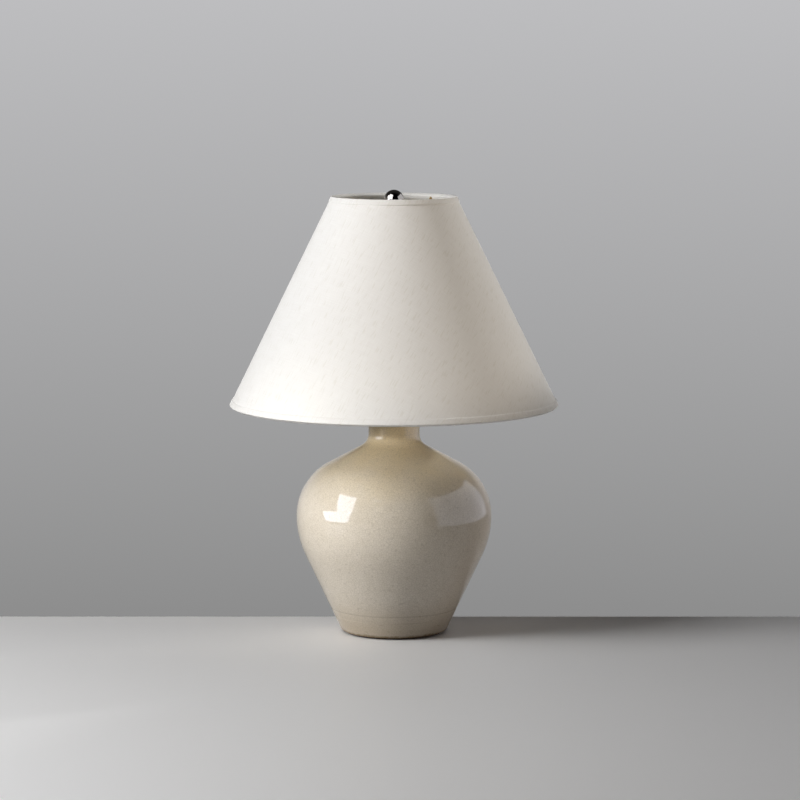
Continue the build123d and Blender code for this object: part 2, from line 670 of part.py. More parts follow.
def front_rod(radius, start, length):
    """A rod along the switch's axis, from start towards the front."""
    return pointing((0, -1, 0), (0, -start, SWITCH_HEIGHT), radius, length)


def switch_shaft():
    """The switch's shaft, from inside the core to inside the knob."""
    knob_start = HOLDER_RADIUS + KNOB_GAP
    start = SHAFT_INNER_END + SHAFT_CLEARANCE
    return front_rod(SHAFT_RADIUS, start, knob_start + KNOB_SOCKET - SHAFT_CLEARANCE - start)


def switch_knob():
    """The fluted turn knob, with a collar towards the holder."""
    start = HOLDER_RADIUS + KNOB_GAP
    grip_start = start + KNOB_COLLAR_LENGTH
    grip_length = KNOB_LENGTH - KNOB_COLLAR_LENGTH
    grip = front_rod(KNOB_RADIUS, grip_start, grip_length)
    front_edge = grip.edges().filter_by(GeomType.CIRCLE).sort_by(Axis.Y)[0]
    knob = fillet(front_edge, KNOB_END_ROUNDING)
    for flute in range(KNOB_FLUTES):
        x, rise = polar((0, 0), KNOB_RADIUS, flute * 360 / KNOB_FLUTES)
        knob -= Pos(x, 0, rise) * front_rod(KNOB_FLUTE_RADIUS, grip_start, grip_length)
    knob += front_rod(KNOB_COLLAR_RADIUS, start, KNOB_COLLAR_LENGTH)
    return knob - front_rod(SHAFT_RADIUS + SHAFT_CLEARANCE, start, KNOB_SOCKET)


def bulb_form(inset, low):
    """The bulb's turned form, moved in by inset: a neck, a hollow flare and a round crown."""
    centre = (0, BULB_TIP + BULB_LENGTH - BULB_RADIUS)
    flare_x = BULB_NECK_RADIUS + BULB_NECK_FILLET
    span = BULB_RADIUS + BULB_NECK_FILLET
    flare_centre = (flare_x, centre[1] - sqrt(span**2 - flare_x**2))
    meeting = degrees(atan2(flare_centre[1] - centre[1], flare_x))
    crown = BULB_RADIUS - inset
    flare = BULB_NECK_FILLET + inset
    neck = flare_x - flare
    return turned(
        Line((0, low), (neck, low)),
        Line((neck, low), (neck, flare_centre[1])),
        CenterArc(flare_centre, flare, 180, meeting),
        CenterArc(centre, crown, meeting, 90 - meeting),
        Line((0, centre[1] + crown), (0, low)),
    )


def bulb_glass_bottom():
    """The height of the glass neck's lower end, inside the screw base."""
    return bulb_base_top() - BULB_NECK_LAP


def bulb_base_bottom():
    """The height of the screw base's lower edge."""
    return BULB_TIP + BULB_TIP_HEIGHT + BULB_INSULATOR_HEIGHT


def bulb_base_top():
    """The height of the screw base's upper edge."""
    return bulb_base_bottom() + THREAD_LENGTH + BULB_COLLAR_HEIGHT


def bulb_globe():
    """The bulb's glass envelope."""
    low = bulb_glass_bottom()
    return bulb_form(0, low) - bulb_form(BULB_GLASS, low)


def bulb_screw_base():
    """The bulb's threaded metal base, with a plain collar round the glass neck."""
    mean = BULB_BASE_RADIUS - THREAD_DEPTH
    bottom = bulb_base_bottom()
    top = bulb_base_top()
    collar = bottom + THREAD_LENGTH
    return turned(
        *rolled_thread(mean, bottom),
        Line((mean, collar), (BULB_BASE_RADIUS, collar)),
        Line((BULB_BASE_RADIUS, collar), (BULB_BASE_RADIUS, top)),
        Line((BULB_BASE_RADIUS, top), (BULB_BASE_BORE, top)),
        Line((BULB_BASE_BORE, top), (BULB_BASE_BORE, bottom)),
        Line((BULB_BASE_BORE, bottom), (mean, bottom)),
    )


def bulb_base_insulator():
    """The glass cone that insulates the tip contact from the screw base."""
    low = BULB_TIP + BULB_TIP_HEIGHT
    high = bulb_base_bottom()
    wide = BULB_BASE_RADIUS - THREAD_DEPTH
    return turned(Polyline((0, low), (BULB_TIP_RADIUS, low), (wide, high), (0, high), close=True))


def bulb_tip_contact():
    """The domed contact at the bulb's lower end."""
    high = BULB_TIP + BULB_TIP_HEIGHT
    dome_radius = (BULB_TIP_RADIUS**2 + BULB_TIP_HEIGHT**2) / (2 * BULB_TIP_HEIGHT)
    centre = (0, BULB_TIP + dome_radius)
    edge_angle = degrees(atan2(high - centre[1], BULB_TIP_RADIUS))
    return turned(
        CenterArc(centre, dome_radius, -90, 90 + edge_angle),
        Line((BULB_TIP_RADIUS, high), (0, high)),
        Line((0, high), (0, BULB_TIP)),
    )


def bulb_stem():
    """The glass stem sealed in the neck, which carries the filament's wires."""
    low = bulb_glass_bottom()
    flare = BULB_NECK_RADIUS - BULB_GLASS - FASTENER_CLEARANCE
    taper_top = low + STEM_FLARE_THICKNESS + STEM_TAPER
    return turned(
        Polyline(
            (0, low),
            (flare, low),
            (flare, low + STEM_FLARE_THICKNESS),
            (STEM_RADIUS, taper_top),
            (STEM_RADIUS, low + STEM_HEIGHT),
            (0, low + STEM_HEIGHT),
            close=True,
        )
    )


def bulb_filament():
    """The two lead wires that rise from the stem and the filament that spans them."""
    low = bulb_glass_bottom() + STEM_HEIGHT
    high = low + FILAMENT_RISE
    path = Plane.XZ * FilletPolyline(
        (-FILAMENT_HALF_FOOT, low),
        (-FILAMENT_HALF_SPAN, high),
        (FILAMENT_HALF_SPAN, high),
        (FILAMENT_HALF_FOOT, low),
        radius=FILAMENT_BEND,
    )
    wire = sweep(Plane(path @ 0, z_dir=path % 0) * Circle(FILAMENT_WIRE_RADIUS), path)
    return wire - rod(STEM_RADIUS, low - STEM_RADIUS, low)


def on_slant(along, out):
    """The (radius, height) of a point along the shade's slant from its bottom and out from its panel."""
    inward = (SHADE_BOTTOM_RADIUS - SHADE_TOP_RADIUS) / SHADE_SLANT
    upward = SHADE_HEIGHT / SHADE_SLANT
    radius = SHADE_BOTTOM_RADIUS - along * inward + out * upward
    height = SHADE_BOTTOM + along * upward + out * inward
    return (radius, height)


def slant_layer(low, high, inner, outer):
    """A conical layer of the shade between two places on its slant and two depths."""
    corners = [on_slant(low, inner), on_slant(low, outer), on_slant(high, outer), on_slant(high, inner)]
    return turned(Polyline(*corners, close=True))


def shade_liner():
    """The stiff translucent panel that gives the shade its cone."""
    return slant_layer(0, SHADE_SLANT, -SHADE_LINER_THICKNESS, 0)


def shade_linen():
    """The linen laid on the panel, doubled where its ends lap at the back."""
    outside = SHADE_GLUE + SHADE_LINEN_THICKNESS
    linen = slant_layer(0, SHADE_SLANT, SHADE_GLUE, outside)
    below_trim = TRIM_HEIGHT + TRIM_THICKNESS
    lap = slant_layer(below_trim, SHADE_SLANT - below_trim, SHADE_GLUE, outside + SHADE_LINEN_THICKNESS)
    reach = 2 * SHADE_BOTTOM_RADIUS
    strip = Pos(reach / 2, 0, (SHADE_BOTTOM + SHADE_TOP) / 2) * Box(reach, SEAM_LAP, SHADE_HEIGHT)
    return linen + (lap & (Rot(0, 0, SEAM_ANGLE) * strip))


def shade_ring(edge, inward):
    """A wire ring inside the shade's panel at one of its edges."""
    depth = SHADE_LINER_THICKNESS + SHADE_GLUE + SHADE_RING_RADIUS
    radius, height = on_slant(edge + inward * SHADE_RING_RADIUS, -depth)
    return Pos(0, 0, height) * Torus(radius, SHADE_RING_RADIUS)


def shade_trim(edge, inward):
    """The folded tape over an edge of the shade: outside the linen, round the edge and inside the ring."""
    outer_face = 2 * SHADE_GLUE + SHADE_LINEN_THICKNESS
    inner_face = -(SHADE_LINER_THICKNESS + 2 * SHADE_GLUE + 2 * SHADE_RING_RADIUS)
    outside = outer_face + TRIM_THICKNESS
    inside = inner_face - TRIM_THICKNESS
    fold = SHADE_GLUE + TRIM_THICKNESS
    places = [
        (TRIM_HEIGHT, outer_face),
        (TRIM_HEIGHT, outside),
        (-fold, outside),
        (-fold, inside),
        (TRIM_INNER_HEIGHT, inside),
        (TRIM_INNER_HEIGHT, inner_face),
        (-SHADE_GLUE, inner_face),
        (-SHADE_GLUE, outer_face),
    ]
    corners = [on_slant(edge + inward * depth, out) for depth, out in places]
    section = make_face(Polyline(*corners, close=True))
    for out in (outside, inside):
        corner = section.vertices().sort_by_distance(on_slant(edge - inward * fold, out))[0]
        section = fillet(corner, TRIM_THICKNESS)
    return revolve(Plane.XZ * section, Axis.Z)


def arm_angles():
    """The angle of each of the spider's arms, evenly spread, by its place."""
    return {place: FIRST_ARM_ANGLE + i * 360 / len(ARM_PLACES) for i, place in enumerate(ARM_PLACES)}


def shade_top_trim():
    """The tape over the shade's upper edge, slit where the spider's arms pass."""
    trim = shade_trim(SHADE_SLANT, -1)
    for angle in arm_angles().values():
        trim -= arm_wire(angle, ARM_RADIUS + ARM_SLIT_CLEARANCE)
    return trim


def spider_hub():
    """The washer at the spider's middle, which sits on the stud's seat."""
    return tube(STUD_HOLE_RADIUS, HUB_RADIUS, STUD_SEAT_TOP, HUB_TOP)


def arm_wire(angle, radius):
    """A wire from the hub out to the knee, then up to the shade's top ring."""
    depth = SHADE_LINER_THICKNESS + SHADE_GLUE + SHADE_RING_RADIUS
    ring = on_slant(SHADE_SLANT - SHADE_RING_RADIUS, -depth)
    level = HUB_TOP - HUB_THICKNESS / 2
    start = HUB_RADIUS - ARM_RADIUS
    path = Plane.XZ * FilletPolyline((start, level), (ARM_KNEE_RADIUS, level), ring, radius=ARM_BEND)
    wire = sweep(Plane(path @ 0, z_dir=path % 0) * Circle(radius), path)
    return Rot(0, 0, angle) * wire


def spider_arm(angle):
    """One of the spider's arms, butted to the hub's rim and to the shade's top ring."""
    arm = arm_wire(angle, ARM_RADIUS) - rod(HUB_RADIUS, STUD_SEAT_TOP, HUB_TOP)
    return arm - shade_ring(SHADE_SLANT, -1)


def finial_washer():
    """The thin washer under the finial."""
    return tube(STUD_HOLE_RADIUS, FINIAL_WASHER_RADIUS, HUB_TOP, FINIAL_BOTTOM)


def finial():
    """The ball finial on its foot and neck, with a blind hole for the stud."""
    centre = FINIAL_BOTTOM + FINIAL_BALL_RISE
    ball = Pos(0, 0, centre) * Sphere(FINIAL_BALL_RADIUS)
    foot = rod(FINIAL_BASE_RADIUS, FINIAL_BOTTOM, FINIAL_BOTTOM + FINIAL_BASE_HEIGHT)
    neck = rod(FINIAL_NECK_RADIUS, FINIAL_BOTTOM, centre)
    bore = rod(STUD_THREAD_RADIUS + FINIAL_BORE_CLEARANCE, FINIAL_BOTTOM, FINIAL_BOTTOM + FINIAL_BORE_DEPTH)
    return ball + foot + neck - bore


def lamp_nodes():
    """Every piece of the lamp, by the name of its node."""
    nodes = {
        "vase_body": vase_body(),
        "vase_foot": vase_foot(),
        "base_felt": base_felt(),
        "cord_grommet": cord_grommet(),
        "lamp_pipe": lamp_pipe(),
        "base_washer": base_washer(),
        "base_lock_washer": base_lock_washer(),
        "base_hex_nut": base_hex_nut(),
        "neck_gasket": neck_gasket(),
        "neck_cap": neck_cap(),
        "check_ring": check_ring(),
        "harp_saddle": harp_saddle(),
        "harp_frame": harp_frame(),
        "harp_ferrule_left": harp_ferrule(-1),
        "harp_ferrule_right": harp_ferrule(1),
        "harp_stud": harp_stud(),
        "socket_cap": socket_cap(),
        "socket_set_screw": socket_set_screw(),
        "socket_shell": socket_shell(),
        "socket_liner": socket_liner(),
        "socket_core": socket_core(),
        "terminal_screws": terminal_screws(),
        "socket_screw_shell": socket_screw_shell(),
        "socket_centre_contact": socket_centre_contact(),
        "switch_shaft": switch_shaft(),
        "switch_knob": switch_knob(),
        "bulb_globe": bulb_globe(),
        "bulb_screw_base": bulb_screw_base(),
        "bulb_base_insulator": bulb_base_insulator(),
        "bulb_tip_contact": bulb_tip_contact(),
        "bulb_stem": bulb_stem(),
        "bulb_filament": bulb_filament(),
        "shade_liner": shade_liner(),
        "shade_linen": shade_linen(),
        "shade_top_ring": shade_ring(SHADE_SLANT, -1),
        "shade_bottom_ring": shade_ring(0, 1),
        "shade_top_trim": shade_top_trim(),
        "shade_bottom_trim": shade_trim(0, 1),
        "spider_hub": spider_hub(),
        "finial_washer": finial_washer(),
        "finial": finial(),
    }
    for place, angle in arm_angles().items():
        nodes["spider_arm_" + place] = spider_arm(angle)
    return nodes


def main():
    os.makedirs("parts", exist_ok=True)
    for node, shape in lamp_nodes().items():
        export_step(shape, os.path.join("parts", node + ".step"))


main()
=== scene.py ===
# %% [markdown]
# # A pottery lamp under a linen shade
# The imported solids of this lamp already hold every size, place and joint. This lesson dresses them: it
# throws a softer vase, lays real cloth on the shade, and gives each piece the finish of its material.
# Heights and radii are in millimetres from the table top and the lamp's axis, as the solids have them.

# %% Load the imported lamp
import json
from math import acos, atan2, cos, degrees, exp, hypot, pi, radians, sin, tan

import bmesh
import bpy
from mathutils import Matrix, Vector


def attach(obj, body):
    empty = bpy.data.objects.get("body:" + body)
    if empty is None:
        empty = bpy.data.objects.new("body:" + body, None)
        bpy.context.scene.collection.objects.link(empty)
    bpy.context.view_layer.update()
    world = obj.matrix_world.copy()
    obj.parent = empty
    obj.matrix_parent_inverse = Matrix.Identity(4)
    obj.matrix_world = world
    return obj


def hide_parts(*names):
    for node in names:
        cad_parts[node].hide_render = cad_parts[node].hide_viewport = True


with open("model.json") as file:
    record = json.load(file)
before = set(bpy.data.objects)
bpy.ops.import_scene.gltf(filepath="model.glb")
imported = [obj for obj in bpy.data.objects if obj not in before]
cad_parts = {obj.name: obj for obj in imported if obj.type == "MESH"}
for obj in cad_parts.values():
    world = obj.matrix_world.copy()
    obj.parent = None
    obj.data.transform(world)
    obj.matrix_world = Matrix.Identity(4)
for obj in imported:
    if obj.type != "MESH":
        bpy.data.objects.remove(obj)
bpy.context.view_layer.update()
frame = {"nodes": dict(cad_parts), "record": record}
bpy.ops.object.select_all(action="DESELECT")

# %% [markdown]
# ## Round pieces from one line
# Everything thrown, turned or rolled on this lamp is round about one upright axis. A potter's rib or a
# lathe tool follows one outline while the work turns. Spin does the same: a line is drawn by extruding
# one point after another, and it is then swept once round the axis. A stack of cylinders would need all
# its joins smoothed afterwards, so the outline is the better start.

# %% Draw an outline and spin it
# Sizes are written in millimetres and multiplied by MM, since Blender counts in metres.
MM = 0.001
WELD = 0.00002


def draw_outline(name, points):
    """Draws a line through (radius, height) points in millimetres and stays in edit mode."""
    bpy.ops.object.select_all(action="DESELECT")
    bpy.ops.mesh.primitive_plane_add(size=MM)
    piece = bpy.context.active_object
    piece.name = name
    piece.data.name = name
    bpy.ops.object.mode_set(mode="EDIT")
    bpy.ops.mesh.select_mode(type="VERT")
    bpy.ops.mesh.select_all(action="SELECT")
    bpy.ops.mesh.merge(type="CENTER")
    first = points[0]
    bpy.ops.transform.translate(value=(first[0] * MM, 0, first[1] * MM))
    for here, there in zip(points, points[1:]):
        step = ((there[0] - here[0]) * MM, 0, (there[1] - here[1]) * MM)
        bpy.ops.mesh.extrude_region_move(TRANSFORM_OT_translate={"value": step})
    return piece


def spin_outline(piece, steps):
    """Sweeps the drawn line round the axis, closes its seam and turns its faces outwards."""
    bpy.ops.mesh.select_all(action="SELECT")
    bpy.ops.mesh.remove_doubles(threshold=WELD)
    bpy.ops.mesh.spin(steps=steps, angle=2 * pi, center=(0, 0, 0), axis=(0, 0, 1))
    bpy.ops.mesh.select_all(action="SELECT")
    bpy.ops.mesh.remove_doubles(threshold=WELD)
    bpy.ops.mesh.normals_make_consistent(inside=False)
    bpy.ops.object.mode_set(mode="OBJECT")
    print(piece.name, "spun with", len(piece.data.polygons), "faces")


def choose(piece):
    """Makes a piece the only selected one, and the active one."""
    bpy.ops.object.select_all(action="DESELECT")
    piece.select_set(True)
    bpy.context.view_layer.objects.active = piece


def smooth(piece, angle):
    """Shades a piece smooth, except over edges sharper than the angle in degrees."""
    choose(piece)
    bpy.ops.object.shade_smooth_by_angle(angle=radians(angle))


# %% [markdown]
# ## The vase's outline
# The vase is stoneware, thrown on a wheel. From the foot its wall rises in a straight line, runs into a
# wide arc up to the belly, turns over in a tighter arc, and goes up a straight shoulder into a short
# neck. The same few radii draw the outer skin and, one wall's thickness further in, the inner one.

# %% Arcs and straight runs of the vase
FOOT_RADIUS = 65.5
FOOT_HEIGHT = 2.0
FOOT_ROUNDING = 3.0
BELLY_RADIUS = 121.0
BELLY_HEIGHT = 145.0
LOWER_BELLY_RADIUS = 113.0
UPPER_BELLY_RADIUS = 74.0
SHOULDER_ANGLE = 61.6
NECK_RADIUS = 31.6
NECK_FILLET = 16.0
VASE_TOP = 285.0
VASE_WALL = 7.0
RIM_ROUNDING = 2.2


def on_circle(centre, radius, angle):
    """The point of a circle at an angle in degrees from the horizontal."""
    return (centre[0] + radius * cos(radians(angle)), centre[1] + radius * sin(radians(angle)))


def arc(centre, radius, start, end, step):
    """Points along an arc, about a step in millimetres apart."""
    count = max(3, round(abs(radians(end - start)) * radius / step))
    return [on_circle(centre, radius, start + (end - start) * i / count) for i in range(count + 1)]


def run(start, end, step):
    """Points along a straight line, about a step apart, without its two ends."""
    count = max(1, round(hypot(end[0] - start[0], end[1] - start[1]) / step))
    across = (end[0] - start[0]) / count
    up = (end[1] - start[1]) / count
    return [(start[0] + across * i, start[1] + up * i) for i in range(1, count)]


lower_centre = (BELLY_RADIUS - LOWER_BELLY_RADIUS, BELLY_HEIGHT)
upper_centre = (BELLY_RADIUS - UPPER_BELLY_RADIUS, BELLY_HEIGHT)
to_foot = (FOOT_RADIUS - lower_centre[0], FOOT_HEIGHT - lower_centre[1])
wall_angle = degrees(atan2(to_foot[1], to_foot[0]) + acos(LOWER_BELLY_RADIUS / hypot(*to_foot)))
shoulder_start = on_circle(upper_centre, UPPER_BELLY_RADIUS, SHOULDER_ANGLE)
fillet_across = NECK_RADIUS + NECK_FILLET
fillet_rise = NECK_FILLET - (fillet_across - shoulder_start[0]) * cos(radians(SHOULDER_ANGLE))
fillet_centre = (fillet_across, shoulder_start[1] + fillet_rise / sin(radians(SHOULDER_ANGLE)))
print("the wall leans", round(-wall_angle, 1), "degrees; the neck starts at", round(fillet_centre[1], 1))

# %% [markdown]
# ## Throwing rings
# Fingers leave shallow rings in the wet clay. They are a little clearer on the shoulder, and one sharper
# ring runs low round the wall. They are pressed into the outer line as soft dips, a fraction of a
# millimetre deep, so that the vase never grows past its solid. A bump map could fake them, but a real dip
# also bends the highlights.

# %% Press the rings into an outline
# Height, depth and half width of each ring, in millimetres.
THROWING_RINGS = (
    (13.0, 0.10, 2.2),
    (31.0, 0.28, 1.3),
    (46.0, 0.10, 3.0),
    (74.0, 0.07, 4.0),
    (120.0, 0.05, 5.0),
    (193.0, 0.08, 3.5),
    (214.0, 0.12, 2.6),
    (228.0, 0.16, 2.2),
    (239.0, 0.10, 2.0),
    (262.0, 0.08, 2.4),
)


def with_rings(points):
    """The same outline with the throwing rings pressed into it."""
    pressed = []
    for radius, height in points:
        dips = [depth * exp(-(((height - level) / half) ** 2)) for level, depth, half in THROWING_RINGS]
        pressed.append((radius - sum(dips), height))
    return pressed


print("throwing rings:", len(THROWING_RINGS))

# %% [markdown]
# ## The vase's section
# The thrown wall has two skins and a rounded rim between them, and it stands on its foot with a small
# rounded edge. All of that is one closed line: up the outside, over the rim, and down the inside. The
# outside takes short steps, since the eye runs along it, and the hidden inside takes long ones.

# %% The vase's closed section
SKIN_STEP = 1.3
RIM_STEP = 0.5
INSIDE_STEP = 5.0
SEAM_HEIGHT = 22.0
SEAM_ROUNDING = 0.3
lean = radians(-wall_angle)
half_corner = tan(radians(90 + wall_angle) / 2)


def wall_at(height, inset=0.0):
    """The point of the straight lower wall at a height, moved in by an inset."""
    return (FOOT_RADIUS + (height - FOOT_HEIGHT) * tan(lean) - inset / cos(lean), height)


def lower_edge(height, rounding):
    """The rounded edge where the wall stands on a level face."""
    centre = (wall_at(height)[0] - rounding * half_corner, height + rounding)
    return arc(centre, rounding, -90, wall_angle, rounding / 4)


wall_end = on_circle(lower_centre, LOWER_BELLY_RADIUS, wall_angle)
shoulder_end = on_circle(fillet_centre, NECK_FILLET, 180 + SHOULDER_ANGLE)
rim_height = VASE_TOP - RIM_ROUNDING
outside = lower_edge(SEAM_HEIGHT, SEAM_ROUNDING)
outside += run(outside[-1], wall_end, SKIN_STEP)
outside += arc(lower_centre, LOWER_BELLY_RADIUS, wall_angle, 0, SKIN_STEP)
outside += arc(upper_centre, UPPER_BELLY_RADIUS, 0, SHOULDER_ANGLE, SKIN_STEP)[1:]
outside += run(shoulder_start, shoulder_end, SKIN_STEP)
outside += arc(fillet_centre, NECK_FILLET, 180 + SHOULDER_ANGLE, 180, SKIN_STEP)
outside += run(outside[-1], (NECK_RADIUS, rim_height), SKIN_STEP)
outside = with_rings(outside)
rim = arc((NECK_RADIUS - RIM_ROUNDING, rim_height), RIM_ROUNDING, 0, 90, RIM_STEP)
rim += arc((NECK_RADIUS - VASE_WALL + RIM_ROUNDING, rim_height), RIM_ROUNDING, 90, 180, RIM_STEP)
inside = arc(fillet_centre, NECK_FILLET + VASE_WALL, 180, 180 + SHOULDER_ANGLE, INSIDE_STEP)
inside += arc(upper_centre, UPPER_BELLY_RADIUS - VASE_WALL, SHOULDER_ANGLE, 0, INSIDE_STEP)
inside += arc(lower_centre, LOWER_BELLY_RADIUS - VASE_WALL, 0, wall_angle, INSIDE_STEP)[1:]
inside += [wall_at(SEAM_HEIGHT, VASE_WALL)]
vase_line = outside + rim + inside
print("the vase's line has", len(vase_line), "points, the widest at", round(max(outside)[0], 2))

# %% [markdown]
# ## The vase
# A potter's wheel turns the section into a vase, and so does Spin. The line ends where it began, so the
# wall is a closed shell with a real inside.

# %% Spin the vase
VASE_STEPS = 160
vase = draw_outline("vase_glazed", vase_line + vase_line[:1])
spin_outline(vase, VASE_STEPS)
smooth(vase, angle=40)
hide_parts("vase_body")
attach(vase, "base")

# %% [markdown]
# ## The foot
# The foot is thrown by itself and seated in the vase's open lower end, and a fine groove is left where the
# two meet. It holds the floor, a recess below it for the nut, and the same wall as the vase outside.

# %% Spin the foot
SEAM_CLEARANCE = 0.06
FLOOR_TOP = 33.0
RECESS_CEILING = 24.0
RECESS_RADIUS = 50.0
PIPE_HOLE_RADIUS = 5.05
ledge_centre = (wall_at(SEAM_HEIGHT)[0] - SEAM_ROUNDING / half_corner, SEAM_HEIGHT - SEAM_ROUNDING)
ledge_edge = arc(ledge_centre, SEAM_ROUNDING, wall_angle, 90, SEAM_ROUNDING / 4)
foot_line = lower_edge(FOOT_HEIGHT, FOOT_ROUNDING)
foot_line += run(foot_line[-1], ledge_edge[0], SKIN_STEP)
foot_line = with_rings(foot_line) + ledge_edge
foot_line += [wall_at(height, VASE_WALL + SEAM_CLEARANCE) for height in (SEAM_HEIGHT, FLOOR_TOP)]
foot_line += [(PIPE_HOLE_RADIUS, FLOOR_TOP), (PIPE_HOLE_RADIUS, RECESS_CEILING)]
foot_line += [(RECESS_RADIUS, RECESS_CEILING), (RECESS_RADIUS, FOOT_HEIGHT), foot_line[0]]
foot = draw_outline("foot_glazed", foot_line)
spin_outline(foot, VASE_STEPS)

# %% [markdown]
# ## The hole for the cord
# A cord leaves the lamp through the back of the foot. The potter pushes a tube through the wet clay there,
# which is just what a Boolean with a cylinder does.

# %% Push the cord's hole through the back
CORD_HEIGHT = 13.0
CORD_HOLE_RADIUS = 5.35
TUBE_LENGTH = 50.0
TUBE_SIDES = 48
bpy.ops.object.select_all(action="DESELECT")
bpy.ops.mesh.primitive_cylinder_add(
    vertices=TUBE_SIDES,
    radius=CORD_HOLE_RADIUS * MM,
    depth=TUBE_LENGTH * MM,
    location=(0, FOOT_RADIUS * MM, CORD_HEIGHT * MM),
    rotation=(pi / 2, 0, 0),
)
tube = bpy.context.active_object


def apply_modifier(piece, kind, **settings):
    """Adds a modifier with its settings to a piece and applies it."""
    choose(piece)
    modifier = piece.modifiers.new(kind.lower(), kind)
    for name, value in settings.items():
        setattr(modifier, name, value)
    bpy.ops.object.modifier_apply(modifier=modifier.name)


apply_modifier(foot, "BOOLEAN", object=tube, operation="DIFFERENCE", solver="EXACT")
bpy.data.objects.remove(tube)
smooth(foot, angle=40)
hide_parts("vase_foot")
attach(foot, "base")
print("foot faces:", len(foot.data.polygons))

# %% [markdown]
# ## The felt ring
# A ring of wool felt under the foot keeps it from scratching the table. Cut felt has soft, slightly
# uneven edges, so the spun ring gets rounded corners and a Displace modifier that only presses inwards.

# %% Cut the felt ring
FELT_INNER = 51.0
FELT_OUTER = 61.0
FELT_EDGE = 0.7
FELT_EDGE_STEP = 0.25
FELT_UNDER_STEP = 0.9
FELT_STEPS = 300
FELT_LUMP = 1.6
FELT_LUMP_DEPTH = 0.25
felt_corners = []
for centre, start in (
    ((FELT_OUTER - FELT_EDGE, FELT_EDGE), -90),
    ((FELT_OUTER - FELT_EDGE, FOOT_HEIGHT - FELT_EDGE), 0),
    ((FELT_INNER + FELT_EDGE, FOOT_HEIGHT - FELT_EDGE), 90),
    ((FELT_INNER + FELT_EDGE, FELT_EDGE), 180),
):
    felt_corners += arc(centre, FELT_EDGE, start, start + 90, FELT_EDGE_STEP)
felt_under = run(felt_corners[-1], felt_corners[0], FELT_UNDER_STEP)
felt = draw_outline("felt_ring", felt_corners + felt_under + felt_corners[:1])
spin_outline(felt, FELT_STEPS)
lumps = bpy.data.textures.new("felt lumps", "CLOUDS")
lumps.noise_scale = FELT_LUMP * MM
apply_modifier(
    felt,
    "DISPLACE",
    texture=lumps,
    texture_coords="LOCAL",
    strength=FELT_LUMP_DEPTH * MM,
    mid_level=1.0,
)
smooth(felt, angle=60)
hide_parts("base_felt")
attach(felt, "base")

# %% [markdown]
# ## The linen on the shade
# The shade is a cone of stiff film with linen glued to it. The cloth is cut as part of a flat ring, rolled
# up, and lapped over itself. A cone without caps is that rolled cloth. Its slanted edges are subdivided so
# that the lap can be raised, and Solidify then gives the cloth its thickness inwards.

# %% Roll the cloth
SHADE_BOTTOM_RADIUS = 201.3
SHADE_TOP_RADIUS = 76.0
SHADE_HEIGHT = 255.9
SHADE_BOTTOM = 283.5
LINEN_THICKNESS = 0.8
GLUE = 0.06
shade_slant = hypot(SHADE_BOTTOM_RADIUS - SHADE_TOP_RADIUS, SHADE_HEIGHT)
inward = (SHADE_BOTTOM_RADIUS - SHADE_TOP_RADIUS) / shade_slant
upward = SHADE_HEIGHT / shade_slant


def on_slant(along, out):
    """Radius and height of a point so far up the shade's slant and so far out from the film."""
    radius = SHADE_BOTTOM_RADIUS - along * inward + out * upward
    return (radius, SHADE_BOTTOM + along * upward + out * inward)


SHADE_SIDES = 240
cloth_face = GLUE + LINEN_THICKNESS
cloth_bottom = on_slant(0, cloth_face)
cloth_top = on_slant(shade_slant, cloth_face)
bpy.ops.object.select_all(action="DESELECT")
bpy.ops.mesh.primitive_cone_add(
    vertices=SHADE_SIDES,
    radius1=cloth_bottom[0] * MM,
    radius2=cloth_top[0] * MM,
    depth=(cloth_top[1] - cloth_bottom[1]) * MM,
    end_fill_type="NOTHING",
)
linen = bpy.context.active_object
linen.name = "linen_cover"
linen.data.name = "linen_cover"
bpy.ops.object.mode_set(mode="EDIT")
bpy.ops.mesh.select_all(action="SELECT")
bpy.ops.transform.translate(value=(0, 0, (cloth_top[1] + cloth_bottom[1]) / 2 * MM))
print("slant in mm:", round(shade_slant, 1))

# %% [markdown]
# ## Rows up the slant
# Glued cloth bends only one way, so one face from edge to edge would do for its shape. The lap and the map
# need more points, so each slanted edge is cut into rows.

# %% Cut the rows


def pick(piece, kind, wanted):
    """Selects only the verts, edges or faces of a piece in edit mode that a test wants."""
    bpy.ops.mesh.select_mode(type={"verts": "VERT", "edges": "EDGE", "faces": "FACE"}[kind])
    bpy.ops.mesh.select_all(action="DESELECT")
    mesh = bmesh.from_edit_mesh(piece.data)
    found = [item for item in getattr(mesh, kind) if wanted(item)]
    for item in found:
        item.select_set(True)
    mesh.select_flush_mode()
    bmesh.update_edit_mesh(piece.data)
    return len(found)


ROWS = 24
slanted = pick(linen, "edges", lambda edge: abs(edge.verts[0].co.z - edge.verts[1].co.z) > MM)
bpy.ops.mesh.subdivide(number_cuts=ROWS - 1)
print("slanted edges:", slanted, "each in", ROWS, "rows")

# %% [markdown]
# ## The lap
# Where the cloth's two ends meet, one is folded under and lies over the other in a narrow strip, on the
# right and a little to the back, out of the camera's sight. Two bisecting planes cut the strip's edges into
# the cone, and the strip is extruded outwards by one cloth.

# %% Raise the lap
LAP_WIDTH = 12.0
LAP_ANGLE = 25.0
lap_out = (cos(radians(LAP_ANGLE)), sin(radians(LAP_ANGLE)))
lap_side = (-lap_out[1], lap_out[0])


def lap_offset(point):
    """How far a point lies to the side of the lap's middle, or far away on the other side of the axis."""
    if point.x * lap_out[0] + point.y * lap_out[1] < 0:
        return 1.0
    return point.x * lap_side[0] + point.y * lap_side[1]


def pick_lap(reach):
    """Selects the cover's faces whose middle is within a reach in millimetres of the lap's middle."""
    return pick(linen, "faces", lambda face: abs(lap_offset(face.calc_center_median())) < reach * MM)


